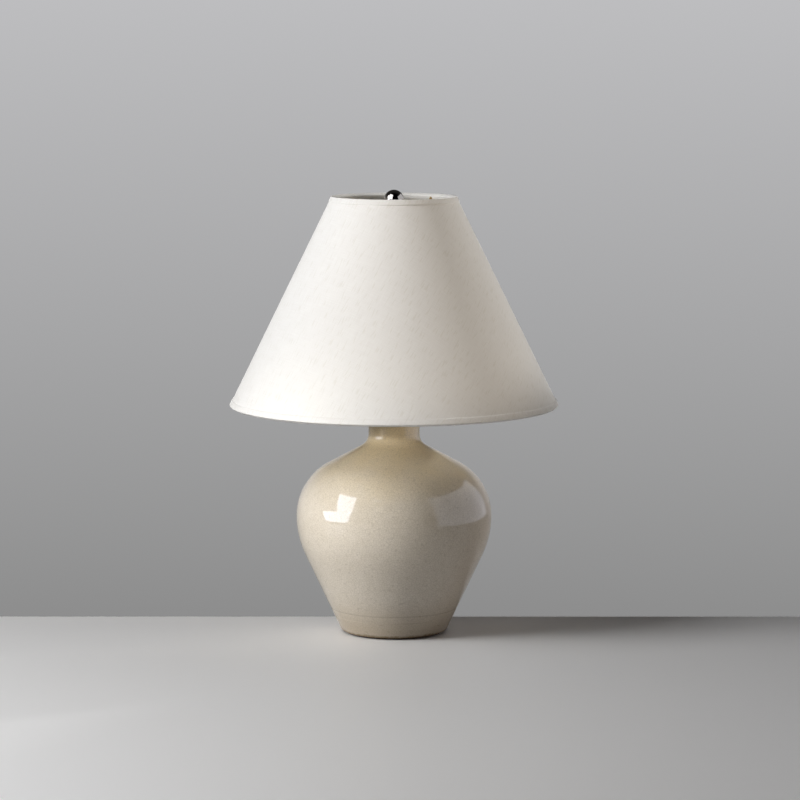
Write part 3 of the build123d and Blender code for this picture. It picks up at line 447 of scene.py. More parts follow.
for edge_side in (-1, 1):
    edge_place = edge_side * LAP_WIDTH / 2 * MM
    pick_lap(3 * LAP_WIDTH)
    bpy.ops.mesh.bisect(
        plane_co=(lap_side[0] * edge_place, lap_side[1] * edge_place, 0),
        plane_no=(lap_side[0], lap_side[1], 0),
        threshold=WELD,
    )
lap_faces = pick_lap(LAP_WIDTH / 2)
lap_lift = [part * LINEN_THICKNESS * MM for part in (lap_out[0] * upward, lap_out[1] * upward, inward)]
bpy.ops.mesh.extrude_region_move(TRANSFORM_OT_translate={"value": lap_lift})
bpy.ops.mesh.select_all(action="SELECT")
bpy.ops.mesh.remove_doubles(threshold=WELD)
bpy.ops.mesh.normals_make_consistent(inside=False)
bpy.ops.object.mode_set(mode="OBJECT")
apply_modifier(linen, "SOLIDIFY", thickness=LINEN_THICKNESS * MM, offset=-1.0)
smooth(linen, angle=30)
print("lap faces:", lap_faces, "cover faces:", len(linen.data.polygons))

# %% [markdown]
# ## A flat map for the weave
# The threads run along the cloth as it was cut, so the weave needs the flat cut's own coordinates. A cone
# unrolls without stretch: the distance from its tip stays, and the angle shrinks by the sine of its slope.
# The map is written in metres, so a thread is as wide on the map as on the cloth.

# %% Unroll the cloth onto its map
tip_height = SHADE_BOTTOM + SHADE_BOTTOM_RADIUS * upward / inward


def turn_from_lap(point):
    """The angle of a point round the axis, counted from the side opposite the lap."""
    return (atan2(point.y, point.x) - radians(LAP_ANGLE)) % (2 * pi) - pi


def unroll(piece):
    """Gives a rolled piece the flat cut's map, with no face stretched across the lap."""
    cut = piece.data.uv_layers.new(name="flat cut")
    cut.active_render = True
    for face in piece.data.polygons:
        middle = turn_from_lap(face.center)
        for corner in face.loop_indices:
            point = piece.data.vertices[piece.data.loops[corner].vertex_index].co
            reach = hypot(hypot(point.x, point.y), tip_height * MM - point.z)
            turn = turn_from_lap(point)
            if turn - middle > pi:
                turn -= 2 * pi
            if middle - turn > pi:
                turn += 2 * pi
            cut.data[corner].uv = (reach * sin(turn * inward), reach * cos(turn * inward))
    print(piece.name, "unrolls over", round(degrees(2 * pi * inward), 1), "degrees")


unroll(linen)

# %% [markdown]
# ## The tapes on the shade's edges
# Each edge of the shade is bound with a tape of the same cloth, folded over the wire ring. The tape's
# section is one line: down the outside, round the fold, up the inside, and back along its own inner face.
# It is spun like the vase. A slight Displace keeps the fold from looking machined.

# %% Draw the tape's section
TAPE_THICKNESS = 0.7
TAPE_OUTER = 7.0
TAPE_INNER = 6.0
TAPE_CORNER = 0.4
# Places along the tape's outside and how far it swells there over the wire, in millimetres.
TAPE_SWELL = ((4.4, 0.08), (2.2, 0.05))
FILM_THICKNESS = 0.7
RING_WIRE = 3.2
FOLD_STEPS = 14
FOLD_FULLNESS = 0.6
tape_face = 2 * GLUE + LINEN_THICKNESS
tape_back = -(FILM_THICKNESS + 2 * GLUE + RING_WIRE)
tape_outside = tape_face + TAPE_THICKNESS
tape_inside = tape_back - TAPE_THICKNESS
fold_middle = (tape_outside + tape_inside) / 2
fold_half = (tape_outside - tape_inside) / 2
fold_depth = GLUE + TAPE_THICKNESS
tape = [(TAPE_OUTER, tape_face), (TAPE_OUTER, tape_outside - TAPE_CORNER)]
tape += [(TAPE_OUTER - TAPE_CORNER, tape_outside)]
tape += [(along, tape_outside + swell) for along, swell in TAPE_SWELL]
for step in range(FOLD_STEPS + 1):
    swing = pi * step / FOLD_STEPS
    bulge = sin(swing) ** FOLD_FULLNESS if 0 < step < FOLD_STEPS else 0.0
    tape.append((-fold_depth * bulge, fold_middle + fold_half * cos(swing)))
tape += [(TAPE_INNER / 2, tape_inside), (TAPE_INNER - TAPE_CORNER, tape_inside)]
tape += [(TAPE_INNER, tape_inside + TAPE_CORNER), (TAPE_INNER, tape_back)]
tape += [(GLUE, tape_back), (GLUE, tape_face), (TAPE_OUTER, tape_face)]
print("the tape's section has", len(tape), "points")

# %% [markdown]
# ## Both tapes
# One tape goes over each edge. The same section serves for both, once upwards from the lower edge and once
# downwards from the upper one.

# %% Bind both edges
PUCKER_SIZE = 14.0
PUCKER_DEPTH = 0.35
puckers = bpy.data.textures.new("tape puckers", "CLOUDS")
puckers.noise_scale = PUCKER_SIZE * MM


def bind(name, node, edge, direction):
    """Spins the tape over one edge of the shade, and hides the solid that it stands for."""
    places = [on_slant(edge + direction * depth, out) for depth, out in tape]
    binding = draw_outline(name, places)
    spin_outline(binding, SHADE_SIDES)
    apply_modifier(
        binding,
        "DISPLACE",
        texture=puckers,
        texture_coords="LOCAL",
        strength=PUCKER_DEPTH * MM,
        mid_level=0.5,
    )
    smooth(binding, angle=50)
    unroll(binding)
    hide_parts(node)
    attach(binding, "shade")
    return binding


bottom_tape = bind("bottom_tape", "shade_bottom_trim", 0.0, 1)
top_tape = bind("top_tape", "shade_top_trim", shade_slant, -1)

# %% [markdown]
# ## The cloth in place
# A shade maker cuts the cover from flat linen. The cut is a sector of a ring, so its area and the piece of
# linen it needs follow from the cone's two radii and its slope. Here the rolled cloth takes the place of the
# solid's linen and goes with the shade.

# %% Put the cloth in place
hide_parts("shade_linen")
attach(linen, "shade")

# %% [markdown]
# ## The finial
# The ball on top is turned from one bar and polished: a thin foot, a waist, and a ball, with small fillets
# where the tool changed direction. Those fillets catch thin bright lines, so they are in the outline.

# %% Turn the finial
FINIAL_BOTTOM = 518.7
FINIAL_BORE = 3.22
FINIAL_BORE_DEPTH = 11.5
FINIAL_BORE_CHAMFER = 0.4
FINIAL_FOOT = 7.0
FINIAL_FOOT_HEIGHT = 2.2
FINIAL_EDGE = 0.5
FINIAL_EDGE_STEP = 0.15
FINIAL_WAIST = 5.4
WAIST_FLARE = 0.35
COVE_STEP = 0.2
BALL_RADIUS = 12.7
BALL_HEIGHT = 17.0
BALL_STEP = 0.5
FINIAL_STEPS = 96
bore_top = FINIAL_BOTTOM + FINIAL_BORE_DEPTH
foot_top = FINIAL_BOTTOM + FINIAL_FOOT_HEIGHT
foot_edge = FINIAL_FOOT - FINIAL_EDGE
finial_line = [(0.0, bore_top), (FINIAL_BORE, bore_top)]
finial_line += [(FINIAL_BORE, FINIAL_BOTTOM + FINIAL_BORE_CHAMFER)]
finial_line += [(FINIAL_BORE + FINIAL_BORE_CHAMFER, FINIAL_BOTTOM)]
finial_line += arc((foot_edge, FINIAL_BOTTOM + FINIAL_EDGE), FINIAL_EDGE, -90, 0, FINIAL_EDGE_STEP)
finial_line += arc((foot_edge, foot_top - FINIAL_EDGE), FINIAL_EDGE, 0, 90, FINIAL_EDGE_STEP)
cove = FINIAL_FOOT - FINIAL_WAIST - FINIAL_EDGE
finial_line += arc((FINIAL_WAIST + cove, foot_top + cove), cove, 270, 180, COVE_STEP)
waist_angle = -degrees(acos((FINIAL_WAIST + WAIST_FLARE) / BALL_RADIUS))
finial_line += arc((0.0, FINIAL_BOTTOM + BALL_HEIGHT), BALL_RADIUS, waist_angle, 90, BALL_STEP)
finial = draw_outline("finial_ball", finial_line)
spin_outline(finial, FINIAL_STEPS)
smooth(finial, angle=35)
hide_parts("finial")
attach(finial, "finial")

# %% [markdown]
# ## One node at a time
# Every finish below is a small tree of nodes. One helper adds a node, sets it and links it, and one
# function turns the sRGB hex colours that people write into the linear colours that shaders use.

# %% Helpers for the finishes
finishes = {}
# Noise rarely leaves this span, so a finish is spread over it.
NOISE_SPAN = {"From Min": 0.3, "From Max": 0.7}


def linear(colour):
    """Turns an sRGB hex colour such as c8bda6 into a linear colour with alpha."""
    channels = [int(colour[i : i + 2], 16) / 255 for i in (0, 2, 4)]
    curve = [c / 12.92 if c <= 0.04045 else ((c + 0.055) / 1.055) ** 2.4 for c in channels]
    return (*curve, 1.0)


def add(tree, kind, inputs=None, **settings):
    """Adds a shader node with its settings; an input is a value, or another node's output to link."""
    made = tree.nodes.new("ShaderNode" + kind)
    for name, value in settings.items():
        setattr(made, name, value)
    for name, value in (inputs or {}).items():
        if isinstance(value, bpy.types.NodeSocket):
            tree.links.new(value, made.inputs[name])
        else:
            made.inputs[name].default_value = value
    return made


def start_finish(slot, name):
    """Makes the material for one slot: its tree, its shader, and the object's own coordinates."""
    material = bpy.data.materials.new(name)
    material.use_nodes = True
    tree = material.node_tree
    place = add(tree, "TexCoord").outputs
    finishes[slot] = material
    return tree, tree.nodes["Principled BSDF"], place


def finish_with(tree, shader, links, **values):
    """Links sockets into the shader and sets its plain values; an underscore stands for a space."""
    for name, socket in links.items():
        tree.links.new(socket, shader.inputs[name])
    for name, value in values.items():
        shader.inputs[name.replace("_", " ")].default_value = value


print("mid grey 808080 is", round(linear("808080")[0], 3), "linear")

# %% [markdown]
# ## Crackle glaze
# The vase is stoneware under a glossy cream glaze that has crazed: as it cooled, the glaze shrank more than
# the clay and broke into small cells, and tea or dust stained the cracks. Voronoi cells measured to their
# edges draw the cracks. Their edges are straight, so noise first sways the points that they are drawn from.

# %% Glaze: cracks
# A glassy skin over pale clay: sharp highlights, fine grey-brown lines, soft cloudy colour.
tree, shader, place = start_finish("crackle_glaze", "glazed crackle stoneware")
CRACK_CELL = 3.0
WANDER_SIZE = 3.2
SWAY = 1.1 * MM
CRACK_REACH = 0.10
CRACK_STAIN = 0.28
FLAKE_TINT = 0.07
wander = add(
    tree, "TexNoise", {"Vector": place["Object"], "Scale": 1 / (WANDER_SIZE * MM), "Detail": 2.0}
)
sway = add(tree, "VectorMath", {0: wander.outputs["Color"], 1: (0.5, 0.5, 0.5)}, operation="SUBTRACT")
swayed = add(
    tree,
    "VectorMath",
    {0: sway.outputs[0], 1: (SWAY, SWAY, SWAY), 2: place["Object"]},
    operation="MULTIPLY_ADD",
)
cell_place = {"Vector": swayed.outputs[0], "Scale": 1 / (CRACK_CELL * MM)}
cells = add(tree, "TexVoronoi", cell_place, feature="DISTANCE_TO_EDGE")
stain = {"From Min": 0.0, "From Max": CRACK_REACH, "To Min": CRACK_STAIN, "To Max": 0.0}
crack = add(
    tree, "MapRange", {"Value": cells.outputs["Distance"], **stain}, interpolation_type="SMOOTHSTEP"
)
flakes = add(tree, "TexVoronoi", cell_place, feature="F1")
flake = add(tree, "SeparateXYZ", {0: flakes.outputs["Color"]}).outputs["X"]
faint = add(tree, "Math", {0: flake, 1: FLAKE_TINT}, operation="MULTIPLY")
print("crack cells of", CRACK_CELL, "mm")

# %% [markdown]
# ## Colour by height
# The glaze breaks to a warmer tan over the shoulder and neck, and that tan is painted a little lighter, as
# painted light for the light that the shade keeps off the shoulder. Towards the foot the glaze thins and
# darkens, and the darkening is partly painted shade on the lower wall, which faces down towards the table.
# The foot's edge was wiped bare and shows brown, and a darker line runs along the sharpest throwing ring.
# Each of these goes by height, as the pot stood upright in the kiln, and slow noise keeps the borders from
# running level.

# %% Glaze: borders by height
CLOUD_SIZE = 45.0
CLOUD_LIFT = 50.0
MOTTLE_SIZE = 9.0
MOTTLE_LIFT = 6.0
RING_DARKENING = 0.28
clouds = add(
    tree, "TexNoise", {"Vector": place["Object"], "Scale": 1 / (CLOUD_SIZE * MM), "Detail": 3.0}
)
mottle = add(
    tree,
    "TexNoise",
    {"Vector": place["Object"], "Scale": 1 / (MOTTLE_SIZE * MM), "Detail": 5.0, "Roughness": 0.65},
)
level = add(tree, "SeparateXYZ", {0: place["Object"]}).outputs["Z"]
uneven = add(
    tree, "Math", {0: clouds.outputs["Fac"], 1: CLOUD_LIFT * MM, 2: level}, operation="MULTIPLY_ADD"
)
dipped = add(
    tree, "Math", {0: mottle.outputs["Fac"], 1: MOTTLE_LIFT * MM, 2: level}, operation="MULTIPLY_ADD"
)
sharpest_ring = max(THROWING_RINGS, key=lambda ring: ring[1])
past_ring = add(tree, "Math", {0: level, 1: sharpest_ring[0] * MM}, operation="SUBTRACT")
off_ring = add(tree, "Math", {0: past_ring.outputs[0]}, operation="ABSOLUTE")
borders = {}
for name, source, start, end, first, last in (
    # The shoulder's tan is the glaze's own, lifted a little as painted light for what the shade keeps off.
    ("shoulder", uneven.outputs[0], 195.0, 265.0, 0.0, 1.0),
    # Towards the foot the glaze thins and darkens; the darkening is partly painted shade on the lower wall.
    ("thin", level, 4.0, 60.0, 0.5, 0.0),
    # A darker line along the sharpest throwing ring.
    ("ring", off_ring.outputs[0], 0.0, sharpest_ring[2], RING_DARKENING, 0.0),
    ("bare foot", dipped.outputs[0], 6.0, 9.0, 1.0, 0.0),
):
    borders[name] = add(
        tree,
        "MapRange",
        {"Value": source, "From Min": start * MM, "From Max": end * MM, "To Min": first, "To Max": last},
        interpolation_type="SMOOTHSTEP",
    )
print("borders in the glaze:", list(borders))

# %% [markdown]
# ## The glaze's colours
# A mottled cream lies all over the pot. The other colours are laid over it one after another, each by its
# own border, and the stained cracks come last because they cut through them all.

# %% Glaze: colour
glaze = add(
    tree, "Mix", {0: mottle.outputs["Fac"], 6: linear("e8dfd2"), 7: linear("dbd1bf")}, data_type="RGBA"
)
for share, colour in (
    # Tan glaze, painted a little lighter as painted light.
    (borders["shoulder"], "ead8b4"),
    # Darker glaze towards the foot, partly painted shade.
    (borders["thin"], "a8926f"),
    # The darker line along the ring.
    (borders["ring"], "8a7a5e"),
    (borders["bare foot"], "8a7352"),
    (faint, "9a8c74"),
    (crack, "8a7a62"),
):
    glaze = add(
        tree, "Mix", {0: share.outputs[0], 6: glaze.outputs[2], 7: linear(colour)}, data_type="RGBA"
    )
print("the last colour laid is the cracks'", colour)

# %% [markdown]
# ## The glaze's skin
# Fired glaze is glass. It pools a little, like orange peel, and each crack is a hair-fine dip. Bump is
# enough for these, as they are far thinner than the rings and never show at the vase's edge.

# %% Glaze: surface
PEEL_SIZE = 5.0
GLASS_IOR = 1.52
peel = add(
    tree, "TexNoise", {"Vector": place["Object"], "Scale": 1 / (PEEL_SIZE * MM), "Detail": 1.0}
)
peeled = add(tree, "Bump", {"Height": peel.outputs["Fac"], "Strength": 0.05, "Distance": 0.4 * MM})
cracked = add(
    tree,
    "Bump",
    {"Height": crack.outputs[0], "Strength": 0.10, "Distance": 0.1 * MM, "Normal": peeled.outputs[0]},
    invert=True,
)
shine = add(
    tree,
    "MapRange",
    {"Value": mottle.outputs["Fac"], **NOISE_SPAN, "To Min": 0.02, "To Max": 0.06},
)
finish_with(
    tree,
    shader,
    {"Base Color": glaze.outputs[2], "Normal": cracked.outputs[0], "Roughness": shine.outputs[0]},
    IOR=GLASS_IOR,
)
print("glaze ready")

# %% [markdown]
# ## Linen
# The cover is bleached flax in a plain weave: matt, off white, with threads that swell here and there into
# slubs. Noise stretched one way on the flat map makes the warp, the other way the weft. Real threads are
# about half a millimetre apart, too fine for this distance, so they are drawn about twice as coarse. The
# slubs are as long as real ones and about twice as wide, for the same reason.

# %% Linen threads
# A dry, matt cloth: no highlight, a faint grid of threads, a few longer slubs.
tree, shader, place = start_finish("linen", "bleached linen cloth")
THREAD = 1.0
THREAD_RUN = 26.0
SLUB_WIDTH = 1.8
SLUB_LENGTH = 14.0
SLUB_LIFT = 1.2
strands = []
for across, along, detail in (
    (THREAD, THREAD_RUN, 2.0),
    (THREAD_RUN, THREAD, 2.0),
    (SLUB_WIDTH, SLUB_LENGTH, 0.0),
):
    drawn = add(
        tree,
        "Mapping",
        {"Vector": place["UV"], "Scale": (1 / (across * MM), 1 / (along * MM), 1)},
    )
    noise = {"Vector": drawn.outputs[0], "Scale": 1.0, "Detail": detail}
    strands.append(add(tree, "TexNoise", noise).outputs["Fac"])
warp, weft, slubs = strands
weave = add(tree, "Math", {0: warp, 1: weft}, operation="ADD")
threads = add(tree, "MapRange", {"Value": weave.outputs[0], "From Min": 0.7, "From Max": 1.3})
slub = add(
    tree,
    "MapRange",
    {"Value": slubs, "From Min": 0.60, "From Max": 0.78},
    interpolation_type="SMOOTHSTEP",
)
flax = add(
    tree, "Mix", {0: threads.outputs[0], 6: linear("efedea"), 7: linear("f5f4f1")}, data_type="RGBA"
)
slubbed = add(
    tree, "Mix", {0: slub.outputs[0], 6: flax.outputs[2], 7: linear("eceae5")}, data_type="RGBA"
)
relief = add(
    tree, "Math", {0: slub.outputs[0], 1: SLUB_LIFT, 2: weave.outputs[0]}, operation="MULTIPLY_ADD"
)
woven = add(tree, "Bump", {"Height": relief.outputs[0], "Strength": 0.25, "Distance": 0.3 * MM})
finish_with(
    tree,
    shader,
    {"Base Color": slubbed.outputs[2], "Normal": woven.outputs[0]},
    Roughness=0.9,
    Specular_IOR_Level=0.2,
    Sheen_Weight=0.08,
    Sheen_Roughness=0.5,
)
print("threads drawn", THREAD, "mm apart")

# %% [markdown]
# ## Polished nickel
# The finial, the cap on the vase and the other bright fittings are nickel plate on brass, buffed to a dark
# mirror. Buffing leaves hair-fine swirls, so the roughness wanders a little.

# %% Nickel
# A warm dark mirror with soft edges to its reflections.
tree, shader, place = start_finish("polished_nickel", "buffed nickel plate")
BUFF_MARK = 6.0
buff = add(
    tree,
    "TexNoise",
    {"Vector": place["Object"], "Scale": 1 / (BUFF_MARK * MM), "Detail": 6.0, "Roughness": 0.7},
)
gloss = add(
    tree,
    "MapRange",
    {"Value": buff.outputs["Fac"], **NOISE_SPAN, "To Min": 0.03, "To Max": 0.08},
)
tone = add(
    tree, "Mix", {0: buff.outputs["Fac"], 6: linear("948d84"), 7: linear("a39c92")}, data_type="RGBA"
)
finish_with(tree, shader, {"Base Color": tone.outputs[2], "Roughness": gloss.outputs[0]}, Metallic=1.0)
print("nickel ready")

# %% [markdown]
# ## Brass
# The lamp holder's shell and cap are pressed brass sheet, and the spider that carries the shade is brass
# wire. Both are lacquered and have gone a little dull. Fine stretched noise gives the drawn metal's grain.
# Real drawing lines are finer than a tenth of a millimetre and would be lost here, so they are coarser.

# %% Brass shell and brass wire
# Yellow metal with a satin grain round the shell; the wire is duller and a little browner.
DRAW_LINE = 0.5
LINES_PER_METRE = 60
TARNISH_SIZE = 7.0
for slot, name, pale, deep, smoothest, roughest in (
    ("lamp_brass", "lacquered brass sheet", "c9a866", "b08c4a", 0.20, 0.34),
    ("spider_brass", "dulled brass wire", "d2b886", "b0925f", 0.30, 0.46),
):
    tree, shader, place = start_finish(slot, name)
    stretch = add(
        tree,
        "Mapping",
        {"Vector": place["Object"], "Scale": (LINES_PER_METRE, LINES_PER_METRE, 1 / (DRAW_LINE * MM))},
    )
    grain = add(tree, "TexNoise", {"Vector": stretch.outputs[0], "Scale": 1.0, "Detail": 3.0})
    tarnish = add(
        tree,
        "TexNoise",
        {"Vector": place["Object"], "Scale": 1 / (TARNISH_SIZE * MM), "Detail": 4.0},
    )
    metal = add(
        tree, "Mix", {0: tarnish.outputs["Fac"], 6: linear(pale), 7: linear(deep)}, data_type="RGBA"
    )
    rough = add(
        tree,
        "MapRange",
        {"Value": grain.outputs["Fac"], **NOISE_SPAN, "To Min": smoothest, "To Max": roughest},
    )
    drawn = add(
        tree, "Bump", {"Height": grain.outputs["Fac"], "Strength": 0.06, "Distance": 0.05 * MM}
    )
    finish_with(
        tree,
        shader,
        {"Base Color": metal.outputs[2], "Roughness": rough.outputs[0], "Normal": drawn.outputs[0]},
        Metallic=1.0,
    )
    print(name, "ready")

# %% [markdown]
# ## Steel, aluminium and wire
# The nuts and washers are zinc-plated steel with a faint bluish spangle. The bulb's cap is bare rolled
# aluminium, and the filament is drawn tungsten.

# %% Plain metals
# Zinc looks grey and cloudy, aluminium pale and streaky, tungsten dark and dull.
for slot, name, pale, deep, size, smoothest, roughest in (
    ("zinc_steel", "zinc-plated steel", "a9acae", "85888c", 3.0, 0.28, 0.45),
    ("bulb_aluminium", "rolled aluminium", "c9c9c8", "a9a9a9", 1.5, 0.25, 0.40),
    ("filament_wire", "drawn tungsten wire", "5c5a58", "45433f", 0.8, 0.40, 0.55),
):
    tree, shader, place = start_finish(slot, name)
    spangle = add(
        tree,
        "TexNoise",
        {"Vector": place["Object"], "Scale": 1 / (size * MM), "Detail": 4.0, "Roughness": 0.6},
    )
    metal = add(
        tree, "Mix", {0: spangle.outputs["Fac"], 6: linear(pale), 7: linear(deep)}, data_type="RGBA"
    )
    rough = add(
        tree,
        "MapRange",
        {"Value": spangle.outputs["Fac"], **NOISE_SPAN, "To Min": smoothest, "To Max": roughest},
    )
    finish_with(tree, shader, {"Base Color": metal.outputs[2], "Roughness": rough.outputs[0]}, Metallic=1.0)
    print(name, "ready")

# %% [markdown]
# ## Felt, rubber, card, mouldings and film
# These are the quiet materials: brown wool felt, black rubber, grey-brown vulcanised card, black phenolic
# mouldings and glass, white film inside the shade and white paint on its wires. None is metal. Each gets
# its own grain: fibres for felt and card, fine pits for mouldings and rubber, a slow haze for film and
# paint. Fibres and pits are drawn at one or two millimetres, coarser than they are, so that they show.

# %% Matt materials
# Felt and card drink the light, rubber and mouldings hold a soft broad highlight, film a faint one.
ROUGHNESS_SWING = 0.05
for slot, name, pale, deep, size, roughness, depth in (
    ("felt", "brown wool felt", "6b5746", "4a3b2f", 0.9, 0.95, 0.30),
    ("soft_rubber", "moulded black rubber", "2b2927", "1d1c1b", 1.2, 0.70, 0.05),
    ("fibre_card", "vulcanised fibre card", "8f7a62", "72604c", 1.4, 0.75, 0.06),
    ("moulded_black", "phenolic moulding", "26221f", "191715", 2.2, 0.38, 0.03),
    ("black_glass", "cast black glass", "17171a", "0d0d10", 2.8, 0.12, 0.02),
    ("liner_film", "white styrene film", "f2f0ea", "e6e2d9", 12.0, 0.55, 0.04),
    ("ring_wire", "white-painted wire", "edebe5", "d9d5cc", 3.0, 0.40, 0.04),
):
    tree, shader, place = start_finish(slot, name)
    grain = add(
        tree,
        "TexNoise",
        {"Vector": place["Object"], "Scale": 1 / (size * MM), "Detail": 6.0, "Roughness": 0.65},
    )
    tone = add(
        tree, "Mix", {0: grain.outputs["Fac"], 6: linear(pale), 7: linear(deep)}, data_type="RGBA"
    )
    swing = {"To Min": roughness - ROUGHNESS_SWING, "To Max": roughness + ROUGHNESS_SWING}
    rough = add(tree, "MapRange", {"Value": grain.outputs["Fac"], **swing})
    bumpy = add(
        tree, "Bump", {"Height": grain.outputs["Fac"], "Strength": 0.5, "Distance": depth * MM}
    )
    finish_with(
        tree,
        shader,
        {"Base Color": tone.outputs[2], "Roughness": rough.outputs[0], "Normal": bumpy.outputs[0]},
    )
    print(name, "ready")

# %% [markdown]
# ## Glass
# The bulb is soda glass, etched inside to a soft white frost, and its stem is the same glass left clear.
# The frost lets light through but no picture, so the frosted one is rough and the clear one isn't. Real
# frost is as fine as flour. It is drawn coarser, as unevenness in the etching.

# %% Frosted and clear glass
# Frost scatters into a milky white; clear glass only bends what is behind it.
FROST_GRAIN = 0.7
for slot, name, tint, smoothest, roughest in (
    ("frosted_glass", "etched soda glass", "f4f4f0", 0.45, 0.65),
    ("clear_glass", "drawn soda glass", "f6f8f6", 0.0, 0.04),
):
    tree, shader, place = start_finish(slot, name)
    frost = add(
        tree,
        "TexNoise",
        {"Vector": place["Object"], "Scale": 1 / (FROST_GRAIN * MM), "Detail": 3.0},
    )
    rough = add(
        tree, "MapRange", {"Value": frost.outputs["Fac"], "To Min": smoothest, "To Max": roughest}
    )
    finish_with(
        tree,
        shader,
        {"Roughness": rough.outputs[0]},
        Base_Color=linear(tint),
        Transmission_Weight=1.0,
        IOR=GLASS_IOR,
    )
    print(name, "ready")

# %% [markdown]
# ## Dress every piece
# The record says which slot each solid takes, so the finishes go onto the solids by that list, and onto
# the new pieces by name.

# %% Put the finishes on
for row in frame["record"]["subparts"]:
    solid = frame["nodes"][row["node"]]
    for material_slot in solid.material_slots:
        material_slot.material = finishes[row["material_slot"]]
for piece, slot in (
    (vase, "crackle_glaze"),
    (foot, "crackle_glaze"),
    (felt, "felt"),
    (linen, "linen"),
    (bottom_tape, "linen"),
    (top_tape, "linen"),
    (finial, "polished_nickel"),
):
    piece.data.materials.clear()
    piece.data.materials.append(finishes[slot])
print("finishes:", len(finishes))

# %% [markdown]
# ## A pale table
# The lamp stands near the back edge of a plain pale table. It is a slab with a softened edge, so the far
# edge reads as a clean line behind the vase's foot, and it takes the lamp's shadow.

# %% Build the table
TABLE_HALF_WIDTH = 1.6
TABLE_NEAR = -1.7
TABLE_FAR = 0.09
TABLE_THICKNESS = 0.04
TABLE_EDGE = 0.003
bpy.ops.object.select_all(action="DESELECT")
bpy.ops.mesh.primitive_cube_add(size=1)
table = bpy.context.active_object
table.name = "table"
bpy.ops.object.mode_set(mode="EDIT")
bpy.ops.mesh.select_all(action="SELECT")
bpy.ops.transform.resize(value=(2 * TABLE_HALF_WIDTH, TABLE_FAR - TABLE_NEAR, TABLE_THICKNESS))
bpy.ops.transform.translate(value=(0, (TABLE_FAR + TABLE_NEAR) / 2, -TABLE_THICKNESS / 2))
bpy.ops.mesh.bevel(offset=TABLE_EDGE, segments=3)
bpy.ops.object.mode_set(mode="OBJECT")
smooth(table, angle=40)
print("table edge", TABLE_FAR, "m behind the axis")

# %% [markdown]
# ## The table's lacquer
# A matt pale lacquer would throw much light up onto the vase and wash out its foot. So the table looks pale
# to the camera and in mirrors, but throws back only the light of a mid grey.

# %% Lacquer the table
tabletop = bpy.data.materials.new("matt lacquer")
tabletop.use_nodes = True
lacquer = tabletop.node_tree
table_ray = add(lacquer, "LightPath").outputs
table_seen = add(
    lacquer,
    "Math",
    {0: table_ray["Is Camera Ray"], 1: table_ray["Is Glossy Ray"]},
    operation="MAXIMUM",
)
table_tone = add(
    lacquer,
    "Mix",
    {0: table_seen.outputs[0], 6: linear("bcbcbc"), 7: linear("f7f7f7")},
    data_type="RGBA",
)
shader = lacquer.nodes["Principled BSDF"]
finish_with(lacquer, shader, {"Base Color": table_tone.outputs[2]}, Roughness=0.55)
table.data.materials.append(tabletop)
print("table lacquered")

# %% [markdown]
# ## Studio light
# A large soft panel stands to the left of the lamp. A second one, higher and nearer, models the shade. They
# light the lamp but don't show in its glaze; cards do that further down.

# %% Panels
for name, width, tall, power, spot, turn in (
    ("side panel", 0.89, 1.20, 37.0, (-2.0, -0.92, 1.165), (0, -pi / 2, 0)),
    ("front panel", 0.9, 0.9, 14.5, (-1.27, -0.89, 1.86), (0, -pi / 4, radians(35))),
):
    bpy.ops.object.light_add(type="AREA", location=spot)
    panel = bpy.context.active_object
    panel.name = name
    panel.rotation_euler = turn
    panel.data.shape = "RECTANGLE"
    panel.data.size = tall
    panel.data.size_y = width
    panel.data.energy = power
    panel.visible_camera = False
    panel.visible_glossy = False
    print(name, power, "W")

# %% [markdown]
# ## Spots
# Three soft spots stay on the vase, and three more, from the front, the right and behind, stay on the
# shade, so that the shadow on the table keeps its depth. Each stands on a circle round the lamp, at so many
# degrees from the front, and looks at a height on the axis.

# %% Spots
SPOT_REACH = 2.2
for name, side, height, aim, half_angle, blend, soft, power, colour in (
    ("vase spot, left", -75, 0.40, 0.04, 1.6, 0.5, 0.10, 80.0, "ffffff"),
    ("vase spot, front", -32, 0.66, 0.178, 2.7, 0.4, 0.10, 105.0, "fffaf0"),
    ("vase spot, right", 95, 0.40, 0.11, 2.6, 0.5, 0.10, 70.0, "fff2e6"),
    ("shade spot, front", 30, 0.56, 0.43, 5.9, 0.5, 0.05, 44.0, "fff0dc"),
    ("shade spot, right", 105, 1.05, 0.41, 6.0, 0.4, 0.05, 33.0, "fffcf8"),
    ("shade spot, back", 130, 0.94, 0.39, 6.2, 0.3, 0.05, 68.0, "fffefc"),
):
    spot = Vector((SPOT_REACH * sin(radians(side)), -SPOT_REACH * cos(radians(side)), height))
    bpy.ops.object.light_add(type="SPOT", location=spot)
    lamp = bpy.context.active_object
    lamp.name = name
    towards = Vector((0, 0, aim)) - spot
    lamp.rotation_euler = towards.to_track_quat("-Z", "Y").to_euler()
    lamp.data.spot_size = radians(2 * half_angle)
    lamp.data.spot_blend = blend
    lamp.data.shadow_soft_size = soft
    lamp.data.energy = power
    lamp.data.color = linear(colour)[:3]
    lamp.visible_camera = False
    lamp.visible_glossy = False
    print(name, power, "W")

# %% [markdown]
# ## Cards for the mirrors
# What shows in glaze and metal is the shape of the studio's lights. Three glowing cards are cut to those
# shapes: a stepped window on the left, a pale wall on the right, and a tall panel close to the finial, which
# the shade hides from the vase. Only mirrors see them, so they can be cut without changing the light.

# %% Cut the cards


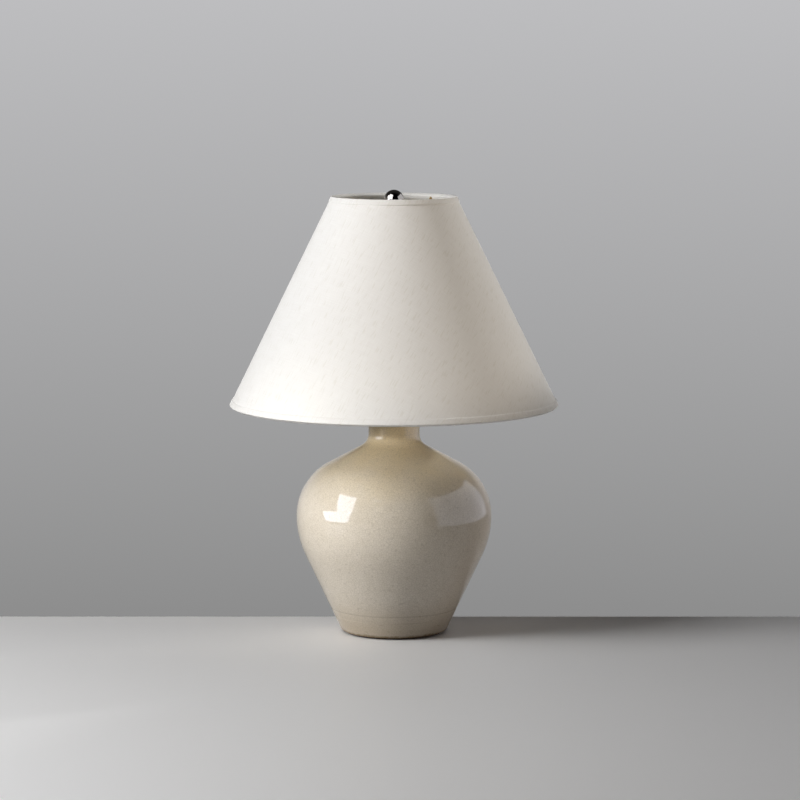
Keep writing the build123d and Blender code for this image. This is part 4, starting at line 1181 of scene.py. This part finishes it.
def hang_card(name, corners, turn, place, strength):
    """Cuts an upright card from (along, height) corners in millimetres, turns it, and makes it glow."""
    card = draw_outline(name, corners + corners[:1])
    bpy.ops.mesh.select_all(action="SELECT")
    bpy.ops.mesh.remove_doubles(threshold=WELD)
    bpy.ops.mesh.edge_face_add()
    bpy.ops.transform.rotate(value=-radians(turn), orient_axis="Z", center_override=(0, 0, 0))
    bpy.ops.transform.translate(value=place)
    bpy.ops.object.mode_set(mode="OBJECT")
    card.visible_camera = False
    card.visible_diffuse = False
    card.visible_shadow = False
    paint = bpy.data.materials.new(name)
    paint.use_nodes = True
    paint.node_tree.nodes.clear()
    glow = add(paint.node_tree, "Emission", {"Color": linear("ecf1ff"), "Strength": strength})
    add(paint.node_tree, "OutputMaterial", {"Surface": glow.outputs[0]})
    card.data.materials.append(paint)
    corners_at = [tuple(round(part, 2) for part in vertex.co) for vertex in card.data.vertices]
    print(name, "hangs at", corners_at)


WINDOW = [(-199, 90), (75, 500), (-693, 726), (0, 2050), (-1200, 2800), (-1579, 1333), (-1460, 180)]
PALE_WALL = [(-1000, 20), (1200, 20), (1200, 1620), (-1000, 1620)]
CLOSE_PANEL = [(-250, 620), (320, 620), (320, 1500), (-250, 1500)]
hang_card("window card", WINDOW, 90, (-2.0, 0, 0), 8.0)
hang_card("wall card", PALE_WALL, 90, (1.2, 0, 0), 1.3)
hang_card("close card", CLOSE_PANEL, -50, (-0.383, -0.321, 0), 4.0)

# %% [markdown]
# ## The wall
# What the camera, the metal and the glass see is a plain grey wall, darker towards the floor. In mirrors
# the ceiling and the room on the camera's side are dark, as a studio is. A world colour by direction does
# this without a wall that would throw light back.

# %% Wall
world = bpy.data.worlds.new("studio")
bpy.context.scene.world = world
world.use_nodes = True
room = world.node_tree
room.nodes.clear()
rays = add(room, "LightPath").outputs
direction = add(room, "TexCoord").outputs["Generated"]
aims = add(room, "SeparateXYZ", {0: direction}).outputs
ranges = []
for axis, start, end, first, last in (
    ("Z", -0.19, 0.01, 0.0, 1.0),
    ("Y", -0.3, 0.3, 0.04, 1.0),
    ("Z", 0.15, 0.45, 1.0, 0.08),
):
    spread = {"From Min": start, "From Max": end, "To Min": first, "To Max": last}
    ranges.append(add(room, "MapRange", {"Value": aims[axis], **spread}).outputs[0])
rise, ahead, low = ranges
wall = add(room, "Mix", {0: rise, 6: linear("8d8d8d"), 7: linear("bebec0")}, data_type="RGBA")
mirrored = add(room, "Math", {0: ahead, 1: low}, operation="MULTIPLY").outputs[0]
lit = add(room, "Math", {0: rays["Is Camera Ray"], 1: mirrored}, operation="MAXIMUM").outputs[0]
wall_light = add(room, "Background", {"Color": wall.outputs[2], "Strength": lit})
print("wall ready")

# %% [markdown]
# ## The fill
# What lights the lamp from all round is a separate, even, faintly warm grey, so the wall's look can change
# without the light. Rays that are seen get the wall, and all the others get the fill.

# %% Fill
FILL_STRENGTH = 0.036
seen = add(room, "Math", {0: rays["Is Camera Ray"], 1: rays["Is Glossy Ray"]}, operation="MAXIMUM")
shown = add(room, "Math", {0: seen.outputs[0], 1: rays["Is Transmission Ray"]}, operation="MAXIMUM")
fill_light = add(room, "Background", {"Color": linear("ffecd8"), "Strength": FILL_STRENGTH})
both = add(
    room,
    "MixShader",
    {0: shown.outputs[0], 1: fill_light.outputs[0], 2: wall_light.outputs[0]},
)
add(room, "OutputWorld", {"Surface": both.outputs[0]})
bpy.context.scene.view_settings.view_transform = "Standard"
print("fill at", FILL_STRENGTH)

# %% [markdown]
# ## The camera
# A long lens from a few metres away, a little higher than the lamp and tipped down by seven degrees, keeps
# the shade's rims as flat ellipses.

# %% Place the camera
CAMERA_PLACE = (0.0074, -3.814, 0.757)
CAMERA_TIP = 7
LENS = 140
SENSOR = 36
bpy.ops.object.camera_add(location=CAMERA_PLACE, rotation=(radians(90 - CAMERA_TIP), 0, 0))
camera = bpy.context.active_object
camera.data.lens = LENS
camera.data.sensor_width = SENSOR
bpy.context.scene.camera = camera
print("camera at", tuple(camera.location))
